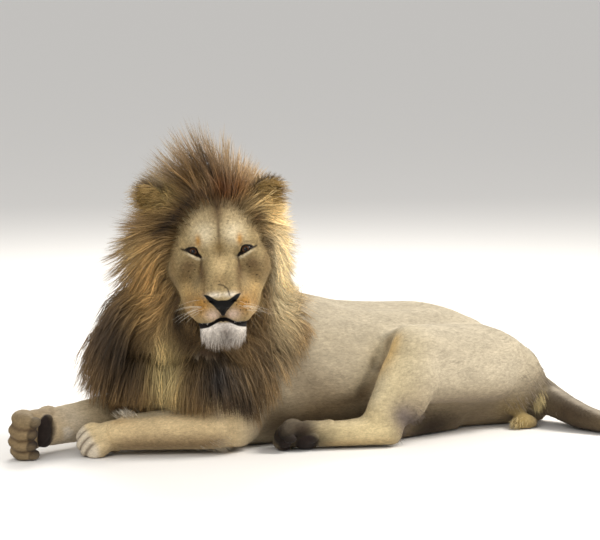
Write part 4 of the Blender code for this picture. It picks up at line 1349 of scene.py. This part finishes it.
def fall_guides(skin, many):
    """The mane of neck, chest, shoulders and withers: follows the body down under its own weight."""

    def density(p):
        q = p - LION
        low = np.interp(q[:, 0], *MANE_LOW)
        edge = 0.022 * ripple(q, 0.030)
        here = smooth(low - 0.01, low + 0.03, q[:, 2] + edge) * smooth(-0.09, -0.17, q[:, 0] + edge)
        h = to_head(p)
        free = smooth(0.245, 0.275, lengths(h + np.array((0.06, 0, 0.03)))) + smooth(-0.24, -0.27, h[:, 2])
        free += smooth(-0.180, -0.205, h[:, 0])
        chin = (h[:, 0] > -0.05) & (h[:, 2] > -0.31)
        return here * np.clip(free, 0, 1) * ~chin * smooth(0.075, 0.090, lengths(ear_place(h)))

    roots = Roots(skin, many, density)
    q, h = roots.p - LION, to_head(roots.p)
    withers = smooth(-0.38, -0.20, q[:, 0]) * smooth(0.0, 0.5, roots.n[:, 2])
    way = np.tile((0.0, 0.0, -1.0), (len(q), 1))
    rear = smooth(-0.30, -0.16, q[:, 0]) * smooth(-0.19, -0.08, q[:, 1])
    way[:, 0] += 1.4 * withers + 0.10 + 0.9 * rear
    way[:, 1] += np.sign(q[:, 1]) * 0.5 * withers
    way += unit(roots.n) * np.array((0.55, 0.55, 0.0))
    length = np.interp(q[:, 0], (-0.55, -0.36, -0.24, -0.12), (0.25, 0.24, 0.19, 0.10))
    lowest = np.interp(q[:, 0], (-0.70, -0.35, -0.30, -0.24, -0.15), (0.125, 0.115, 0.060, 0.100, 0.240))
    length = length * (0.80 + 0.25 * rng.random(len(q)))
    length = np.minimum(length, np.maximum((q[:, 2] - lowest) * 1.15, 0.05))
    below_chin = smooth(-0.04, 0.0, h[:, 0]) * smooth(-0.36, -0.30, h[:, 2])
    below_chin *= smooth(0.13, 0.09, np.abs(h[:, 1]))
    x, _ = frontal(roots.p)
    aside = smooth(-0.12, -0.22, x)
    lift = 0.75 - 0.60 * below_chin + 0.35 * aside - 0.40 * rear
    length *= 1 + 0.12 * aside + rear * (0.9 * rng.random(len(q)) - 0.2)
    start = unit(flat_on(way, roots.n)) * 0.8 + roots.n * lift[:, None]
    start = start + rng.normal(size=(len(q), 3)) * 0.10
    return trail(roots.p, start, length, GUIDE_POINTS - 1, np.array((0, 0, -0.36)) + 0.10 * way), roots


def without_ears(skin):
    """The skin as a tree for finding the nearest place, with the ears left out."""
    p = arrays_of(skin.data)
    ear = lengths(ear_place(to_head(p))) < 0.075
    faces = [tuple(f.vertices) for f in skin.data.polygons if not ear[f.vertices[0]]]
    return BVHTree.FromPolygons(p.tolist(), faces)


def clear_of_face(guides, roots):
    """Leaves out hair that would hang before the face."""
    h = to_head(guides.reshape(-1, 3)).reshape(guides.shape)
    before = (h[..., 0] > 0.0) & (np.abs(h[..., 1]) < 0.10) & (np.abs(h[..., 2] + 0.035) < 0.165)
    keep = ~before.any(axis=1)
    return guides[keep], roots.n[keep], roots.uv[keep]


def grow_mane(skin):
    """The mane: strands in locks around guides that are kept out of skin and face."""
    tree = without_ears(skin)
    margin = 0.006 + 0.030 * np.linspace(0, 1, GUIDE_POINTS) ** 1.2
    all_paths, all_uv = [], []
    for make, many in ((ring_guides, RING_GUIDES), (fall_guides, FALL_GUIDES)):
        guides, roots = make(skin, many)
        rear = smooth(-0.28, -0.15, roots.p[:, 0] - LION[0])
        guides = pushed_out(guides, tree, margin[None] * (1 - 0.85 * rear)[:, None])
        if make is ring_guides:
            guides = kept_within(guides, 0.95 + 0.09 * rng.random(many))
        guides[..., 2] = np.maximum(guides[..., 2], 0.012)
        guides, roots.n, roots.uv = clear_of_face(guides, roots)
        many = len(guides)
        spread = 0.002 + 0.018 * rng.random(many) ** 1.5
        paths = combed(guides, roots.n, spread)
        all_paths.append(paths)
        all_uv.append(np.repeat(roots.uv, PER_GUIDE, axis=0))
    paths, uv = np.concatenate(all_paths), np.concatenate(all_uv)
    low = np.array(cad_box[0]) + (-MANE_PAST, -MANE_PAST, MANE_GAP)
    paths = np.clip(paths, low, np.array(cad_box[1]) + MANE_PAST)
    many, points = paths.shape[:2]
    tones = mane_colour(paths.reshape(-1, 3)).reshape(many, points, 3)
    locks = ripple(paths[:, points // 2], 0.011)
    clump = np.repeat(rng.normal(size=many // PER_GUIDE), PER_GUIDE) * 0.26
    clump = clump + rng.normal(size=many) * 0.24 + 0.16 * locks
    # Roots darkened and tips brightened from root to tip: painted shade and light among the hair.
    tones = tones * np.exp(clump)[:, None, None] * np.linspace(0.60, 1.22, points)[None, :, None]
    s = np.linspace(0, 1, points)[None]
    radii = (0.00055 + 0.0006 * rng.random((many, 1))) * (1.05 - 0.85 * s**1.5)
    tubes("mane", paths, radii, tones, uv, hair_paint("mane_hair", 0.55, 0.30, 160, 0.24))


def grow_ears(skin):
    """Short dark hair on the rim and the back of the ears, long gold hair inside."""

    def density(p):
        return smooth(0.085, 0.070, lengths(ear_place(to_head(p))))

    many = EAR_HAIRS
    roots = Roots(skin, many, density)
    h = to_head(roots.p)
    n = roots.n @ HEAD_AXES.T
    side = np.sign(h[:, 1])
    place = ear_place(h)
    base = np.array((0.0, -0.062, -0.056))
    way = unit(place - base) * 0.9 + n * 0.45 * np.stack((np.ones(many), side, np.ones(many)), 1)
    inner = smooth(0.2, 0.6, n[:, 0]) * smooth(0.050, 0.036, lengths(place[:, 1:]))
    way = way * (1 - inner[:, None]) + np.array((0.50, 0.55, 0.30)) * inner[:, None]
    way[:, 1] *= side
    way = unit(way @ HEAD_AXES + rng.normal(size=(many, 3)) * 0.14)
    length = (0.026 + 0.030 * inner) * (0.6 + 0.8 * rng.random(many))
    path = strands_from(roots, way, length, 0.14, 5)
    tone = np.where(inner[:, None] > rng.random((many, 1)), colour("a98d58"), colour("6a583e"))
    # Ear hair darker at the root and lighter at the tip: painted shade.
    free_hair("ear_hair", path, roots, tone, 0.16, 0.0008, hair_paint("ear_hair"), shade=(0.75, 1.25))


def grow_fringe(skin):
    """Hair at the edge of the face that grows longer towards the mane."""
    many = FRINGE_HAIRS

    def density(p):
        h = to_head(p)
        level = level_of(h)
        edge = h[:, 0] - hairline(level)
        band = smooth(0.055, 0.022, edge) * smooth(-0.030, -0.010, edge)
        return band * near_head(h) * (level > -62)

    roots = Roots(skin, many, density)
    h = to_head(roots.p)
    level = level_of(h)
    edge = h[:, 0] - hairline(level)
    near = smooth(0.048, -0.005, edge)
    away = unit(h - np.array((0.02, 0, -0.05))) + np.array((-0.55, 0, 0.0))
    away[:, 2] -= 0.9 * smooth(0.2, -0.3, h[:, 2] / np.maximum(np.abs(h[:, 1]), 0.01))
    way = unit(flat_on(unit(away) @ HEAD_AXES, roots.n))
    way = unit(way + roots.n * (0.20 + 0.25 * near)[:, None] + rng.normal(size=(many, 3)) * 0.13)
    length = (0.012 + 0.052 * near) * (0.6 + 0.8 * rng.random(many))
    path = strands_from(roots, way, length, 0.10, 4)
    tip = mane_colour(path[:, -1])
    root = skin_colour(roots.p, roots.n)
    share = (np.linspace(0.15, 1, 4)[None] * near[:, None])[..., None]
    tones = root[:, None] * (1 - share) + tip[:, None] * share
    tones = tones * np.exp(0.24 * rng.normal(size=(many, 1, 1)))
    radii = (0.0005 + 0.0003 * near)[:, None] * np.linspace(1, 0.25, 4)[None]
    tubes("fringe", path, radii, tones, roots.uv, hair_paint("fringe_hair"))


# Bones that the short coat follows: from, to, how far each rules.
LIE = (
    ((-0.200, 0.000, 0.400), (0.550, 0.000, 0.330), 0.17),
    ((-0.200, -0.200, 0.300), (0.350, -0.215, 0.120), 0.12),
    ((-0.200, 0.200, 0.300), (0.350, 0.215, 0.120), 0.12),
    ((-0.380, -0.120, 0.235), (-0.300, -0.165, 0.070), 0.08),
    ((-0.300, -0.165, 0.070), (-0.740, -0.030, 0.050), 0.07),
    ((-0.420, 0.150, 0.245), (-0.380, 0.215, 0.080), 0.08),
    ((-0.380, 0.215, 0.080), (-0.900, 0.070, 0.070), 0.07),
    ((0.720, -0.120, 0.240), (0.245, -0.235, 0.240), 0.13),
    ((0.245, -0.235, 0.278), (0.125, -0.305, 0.050), 0.08),
    ((0.125, -0.305, 0.050), (-0.160, -0.220, 0.046), 0.06),
    ((0.620, 0.085, 0.120), (0.300, 0.130, 0.095), 0.12),
    ((0.440, -0.125, 0.036), (0.160, -0.215, 0.036), 0.06),
    ((0.640, 0.000, 0.300), (0.800, -0.100, 0.120), 0.12),
    ((0.800, -0.120, 0.100), (0.868, -0.465, 0.030), 0.05),
    ((0.868, -0.465, 0.030), (1.110, -0.600, 0.022), 0.05),
    ((1.110, -0.600, 0.022), (1.400, -0.470, 0.018), 0.05),
)


def lie_of_coat(p, out):
    """Which way the short hair lies, in the surface."""
    q = p - LION
    way = np.zeros_like(p)
    for start, end, reach in LIE:
        d, _ = along_segment(q, start, end)
        way += unit(np.subtract(end, start))[None] / (1e-4 + (d / reach) ** 4)[:, None]
    way = unit(way) + np.array((0, 0, -0.25))
    h = to_head(p)
    face = smooth(-0.20, -0.12, h[:, 0]) * near_head(h)
    away = unit(h - np.array((0.150, 0, -0.120))) + np.array((-0.4, 0, 0.25))
    away[:, 2] -= 1.2 * smooth(-0.14, -0.19, h[:, 2])
    way = way * (1 - face[:, None]) + unit(away) @ HEAD_AXES * face[:, None]
    way += 0.12 * np.sin(q[:, [1, 2, 0]] * 23)
    return unit(flat_on(way, out))


def mane_cover(p):
    """1 where the mane grows from the trunk."""
    q = p - LION
    low = np.interp(q[:, 0], *MANE_LOW)
    return smooth(low, low + 0.04, q[:, 2]) * smooth(-0.12, -0.17, q[:, 0])


def on_paws(p):
    """1 on the four paws."""
    middle = np.array((0.05, 0, 0))
    return np.max([smooth(0.13, 0.09, lengths(to_paw(p, paw) - middle)) for paw in PAWS], axis=0)


def on_face(p):
    """1 before the hairline."""
    h = to_head(p)
    level = level_of(h)
    before = smooth(hairline(level) - 0.03, hairline(level) - 0.01, h[:, 0])
    return before * near_head(h)


def bare_skin(p):
    """1 on leather, lips, eyelids and pads."""
    h = to_head(p)
    across, up = seen(h)
    x = np.abs(across)
    aside, height, low, high = at_eye(x, up)
    outside = np.maximum(np.maximum(height - high, low - height), np.abs(aside - 0.001) - 0.019)
    eyes = smooth(0.0060, 0.0030, outside) * (h[:, 0] > -0.03)
    lips = lip_share(x, up) * (h[:, 0] > 0.02) * (x < 0.09)
    return np.max([eyes, lips, nose_share(h), pad_share(p)], axis=0)


def pad_share(p):
    """1 on the pads of the paws."""
    found = np.zeros(len(p))
    for paw in PAWS:
        a = to_paw(p, paw)
        near = smooth(0.10, 0.06, lengths(a - np.array((0.06, 0, 0))))
        palm = egg(a, (0.030, 0, -0.036), (0.036, 0.047, 0.017))
        toe = np.min([egg(a, (0.092 + r, c, -0.043), (0.021, 0.0145, 0.015)) for r, c in TOES], axis=0)
        found = np.maximum(found, near * smooth(0.004, -0.001, np.minimum(palm, toe)))
    return found


def short_tufts(name, skin, many, density, length, radius, paint, mottle):
    """Thin spikes of hair that lie along the body and overlap."""
    roots = Roots(skin, many, density)
    way = lie_of_coat(roots.p, roots.n)
    way = unit(way + flat_on(rng.normal(size=way.shape), roots.n) * 0.14)
    long = length(roots.p) * (0.7 + 0.6 * rng.random(many))
    lift = np.where(rng.random(many) < 0.12, 0.20, 0.07)
    tip = roots.p + way * long[:, None] + roots.n * (long * lift)[:, None]
    path = np.stack((roots.p - 0.0006 * roots.n, tip), 1)
    path[..., 2] = np.maximum(path[..., 2], TUFT_GAP)
    tone = skin_colour(roots.p + 0.5 * way * long[:, None], roots.n)
    tone = tone * np.exp(mottle * rng.normal(size=(many, 1)))
    # Tips 8% lighter: painted light against the tufts' own shade.
    tones = tone[:, None] * np.array((1.0, 1.08))[None, :, None]
    radii = (radius * (0.75 + 0.5 * rng.random(many)))[:, None] * np.array((1.0, 0.2))
    tubes(name, path, radii, tones, roots.uv, paint, roots.n)


def grow_coat(skin):
    """Short tufts on trunk, legs, tail and face; none on bare leather or under the mane."""
    paint = hair_paint("short_coat", 0.75, 0.20, 240, 0.10)

    def on_body(p):
        bare = (1 - mane_cover(p)) * (1 - on_face(p)) * (1 - bare_skin(p))
        return bare * (1 + 2 * on_paws(p)) * (p[:, 2] > 0.004)

    def on_head(p):
        return on_face(p) * (1 - bare_skin(p))

    def body_length(p):
        return 0.017 - 0.009 * on_paws(p)

    def face_length(p):
        return np.full(len(p), 0.0085)

    short_tufts("coat", skin, COAT_TUFTS, on_body, body_length, 0.0007, paint, 0.12)
    short_tufts("face_coat", skin, FACE_TUFTS, on_head, face_length, 0.00048, paint, 0.20)


def strands_from(roots, way, length, fall, points):
    """Free strands that start along the way and bend down."""
    return trail(roots.p - roots.n * ROOT_DEPTH, way, length, points - 1, np.array((0, 0, -fall)))


def free_hair(name, path, roots, tone, uneven, radius, paint, shade=(1, 1), taper=(1, 0.25)):
    """Round strands, each of its own tone, tapered from root to tip; shade scales the tone from root to tip,
    as painted shade at the roots or a darker tip of the hair's own.
    """
    many, points = path.shape[:2]
    tones = tone[:, None] * np.exp(uneven * rng.normal(size=(many, 1, 1)))
    tones = tones * np.linspace(*shade, points)[None, :, None]
    radii = radius * np.linspace(*taper, points)[None] * np.ones((many, 1))
    tubes(name, path, radii, tones, roots.uv, paint)


def grow_beard(skin):
    """White hair below the lower lip, brown towards the throat."""

    def density(p):
        h = to_head(p)
        across, up = seen(h)
        here = smooth(-0.204, -0.216, up) * smooth(0.008, -0.004, np.abs(across) - chin_width(up))
        return here * smooth(0.0, 0.04, h[:, 0]) * (h[:, 2] > -0.275) * (1 - bare_skin(p))

    many = CHIN_HAIRS
    roots = Roots(skin, many, density)
    h = to_head(roots.p)
    across, up = seen(h)
    way = roots.n * 0.40 + rng.normal(size=(many, 3)) * 0.16 + np.array((0, 0, -0.9))
    way -= 0.35 * (across / 0.07)[:, None] * HEAD_AXES[1]
    length = (0.008 + 0.020 * smooth(-0.215, -0.255, up)) * (0.5 + 0.9 * rng.random(many))
    path = strands_from(roots, way, length, 0.2, 4)
    tone = np.tile(colour("d4ccc2"), (many, 1))
    # Painted shade: grey in the middle of the chin, under the lower lip.
    tone = blended(tone, "80756c", 0.8 * spot(across, up, (0.006, -0.235), (0.020, 0.024)))
    tone = blended(tone, "6e5c48", smooth(-0.248, -0.268, up) * (rng.random(many) < 0.75))
    free_hair("beard", path, roots, tone, 0.16, 0.0006, hair_paint("beard_hair", spread=0.12))


# Tufts that stand out: where, radius, direction, length, tone, how many (the lion's own coordinates).
SMALL_TUFTS = (
    ("wrist", (-0.600, -0.062, 0.112), 0.022, (-0.75, -0.10, 0.60), 0.034, "d8cdb8", 90),
    ("elbow", (-0.385, -0.200, 0.020), 0.035, (0.60, -0.60, -0.20), 0.026, "b0a48e", 70),
    ("beside_tail", (0.733, -0.185, 0.092), 0.018, (0.05, -0.45, -0.90), 0.040, "cbb988", 110),
    ("scrotum", (0.610, -0.225, 0.030), 0.028, (-0.60, -0.60, -0.40), 0.030, "d2bf90", 110),
    ("thigh_back", (0.700, -0.215, 0.110), 0.060, (0.45, -0.35, -0.80), 0.028, "8f8270", 260),
    ("heel", (0.215, -0.330, 0.060), 0.040, (0.70, -0.10, -0.60), 0.020, "63584f", 160),
)


def grow_small_tufts(skin):
    paint = hair_paint("tuft_hair", 0.65, 0.22, 220, 0.14)
    for name, centre, radius, way, length, tone, many in SMALL_TUFTS:

        def density(p):
            far = lengths(p - LION - np.array(centre))
            return hump(far, radius) * (far < 2 * radius)

        roots = Roots(skin, many, density)
        aim = unit(np.array(way)) + roots.n * 0.35 + rng.normal(size=(many, 3)) * 0.13
        long = length * (0.6 + 0.6 * rng.random(many))
        path = strands_from(roots, aim, long, 0.12, 4)
        path[..., 2] = np.maximum(path[..., 2], HAIR_GAP)
        free_hair("tuft_" + name, path, roots, colour(tone)[None], 0.12, 0.0007, paint)


def grow_tail_tuft(skin):
    """The tail's dark brush, which lies on the floor."""

    def density(p):
        return smooth(1.24, 1.33, p[:, 0] - LION[0])

    many = TAIL_HAIRS
    roots = Roots(skin, many, density)
    q = roots.p - LION
    way = np.array((0.60, 0.75, 0.10)) + roots.n * 0.42 + rng.normal(size=(many, 3)) * 0.10
    length = np.interp(q[:, 0], (1.24, 1.35), (0.06, 0.15)) * (0.75 + 0.35 * rng.random(many))
    path = trail(roots.p, way, length, 5, np.array((-0.16, 0.06, -0.10)))
    path[..., 2] = np.maximum(path[..., 2], HAIR_GAP + 0.004 * rng.random((many, 1)))
    tone = np.where(rng.random((many, 1)) < 0.2, colour("8a7352"), colour("3a2c20"))
    paint = hair_paint("tail_hair")
    free_hair("tail_hair", path, roots, tone, 0.2, 0.0012, paint, (1.1, 0.8), (1.1, 0.25))


def grow_whiskers(skin):
    """Stiff pale whiskers in rows on the muzzle."""
    many = WHISKERS

    def density(p):
        h = to_head(p)
        across, up = seen(h)
        return spot(np.abs(across), up, (0.058, -0.165), (0.012, 0.013)) * (h[:, 0] > 0.06)

    roots = Roots(skin, many, density)
    side = np.sign(to_head(roots.p)[:, 1])
    way = np.stack((np.full(many, 0.12), side, np.full(many, -0.12)), 1) + rng.normal(size=(many, 3)) * 0.14
    path = strands_from(roots, unit(way) @ HEAD_AXES, 0.05 + 0.05 * rng.random(many), 0.08, 8)
    tones = np.tile(colour("d8cfbe"), (many, 8, 1))
    radii = 0.0004 * np.linspace(1, 0.2, 8)[None] * np.ones((many, 1))
    tubes("whiskers", path, radii, tones, roots.uv, hair_paint("whisker", spread=0.12))


# ---------------------------------------------------------------- stage
LAMPS = (  # name, place, size, power, colour
    ("key", (3.0, -1.6, 3.6), 2.2, 260, (1.0, 0.96, 0.90)),
    ("fill", (-4.6, -4.2, 3.6), 3.0, 170, (1.0, 0.98, 0.96)),
    ("back", (1.2, 3.6, 3.6), 2.5, 170, (1.0, 0.97, 0.92)),
)
WORLD_TONE = (0.90, 0.90, 0.90, 1)
WORLD_STRENGTH = 0.75
FLOOR_TONE = (0.78, 0.76, 0.73, 1)
FLOOR_REACH = 30
FLOOR_DROP = 0.0005  # keeps it clear of the lion's underside
LAMPS_AIM = (0, 0, 0.3)


def camera_and_light():
    """Camera at the photo's angle, soft studio light and a pale floor."""
    scene = bpy.context.scene
    data = bpy.data.cameras.new("camera")
    data.lens = CAMERA_LENS
    data.sensor_width = CAMERA_SENSOR
    data.clip_end = CAMERA_CLIP
    camera = bpy.data.objects.new("camera", data)
    scene.collection.objects.link(camera)
    start, goal = Vector(CAMERA_FROM + LION), Vector(CAMERA_TO + LION)
    camera.location = start
    camera.rotation_euler = (goal - start).to_track_quat("-Z", "Y").to_euler()
    scene.camera = camera

    for name, place, size, power, tone in LAMPS:
        lamp = bpy.data.lights.new(name, "AREA")
        lamp.shape = "DISK"
        lamp.size = size
        lamp.energy = power
        lamp.color = tone
        body = bpy.data.objects.new(name, lamp)
        scene.collection.objects.link(body)
        body.location = Vector(place)
        body.rotation_euler = (Vector(LAMPS_AIM) - body.location).to_track_quat("-Z", "Y").to_euler()

    world = bpy.data.worlds.new("studio")
    world.use_nodes = True
    background = world.node_tree.nodes["Background"]
    background.inputs["Color"].default_value = WORLD_TONE
    background.inputs["Strength"].default_value = WORLD_STRENGTH
    scene.world = world
    scene.view_settings.view_transform = "Standard"

    bm = bmesh.new()
    bmesh.ops.create_grid(bm, x_segments=1, y_segments=1, size=FLOOR_REACH)
    mesh = bpy.data.meshes.new("floor")
    bm.to_mesh(mesh)
    bm.free()
    floor = make_object("floor", mesh)
    mesh.materials.append(Paint("pale_floor", 0.8, 0.5, {"Base Color": FLOOR_TONE}).material)
    floor.location.z = -FLOOR_DROP


def paint_skin(skin):
    """Stores the markings on the skin, with painted shade under the mane, and gives it its material."""
    p, n = arrays_of(skin.data), arrays_of(skin.data, "normal")
    # Under the mane the skin takes the mane's tone at half strength: painted shade.
    hidden = (mane_cover(p) * (1 - on_face(p)))[:, None]
    tones = skin_colour(p, n) * (1 - hidden) + 0.5 * mane_colour(p) * hidden
    put(skin.data, "coat", tones, "FLOAT_COLOR")
    put(skin.data, "leather", bare_skin(p))
    put(skin.data, "specks", speck_share(p))
    h = to_head(p)
    across, up = seen(h)
    rows = 1.2 * spot(np.abs(across), up, (0.060, -0.162), (0.026, 0.026)) * smooth(-0.02, 0.03, h[:, 0])
    put(skin.data, "whisker_rows", np.clip(rows, 0, 0.8) * (1 - nose_share(h)))
    put(skin.data, "seen", np.stack((across, up + 0.10 * np.abs(across), 0 * up), 1), "FLOAT_VECTOR")
    skin.data.materials.clear()
    skin.data.materials.append(skin_paint())


camera_and_light()
skin = build_skin()
paint_skin(skin)
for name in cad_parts:
    if not name.startswith("eye_"):
        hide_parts(name)
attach(skin, "root")
build_eyes()
for grow in (
    grow_mane, grow_ears, grow_fringe, grow_coat, grow_beard, grow_small_tufts, grow_tail_tuft, grow_whiskers
):
    grow(skin)
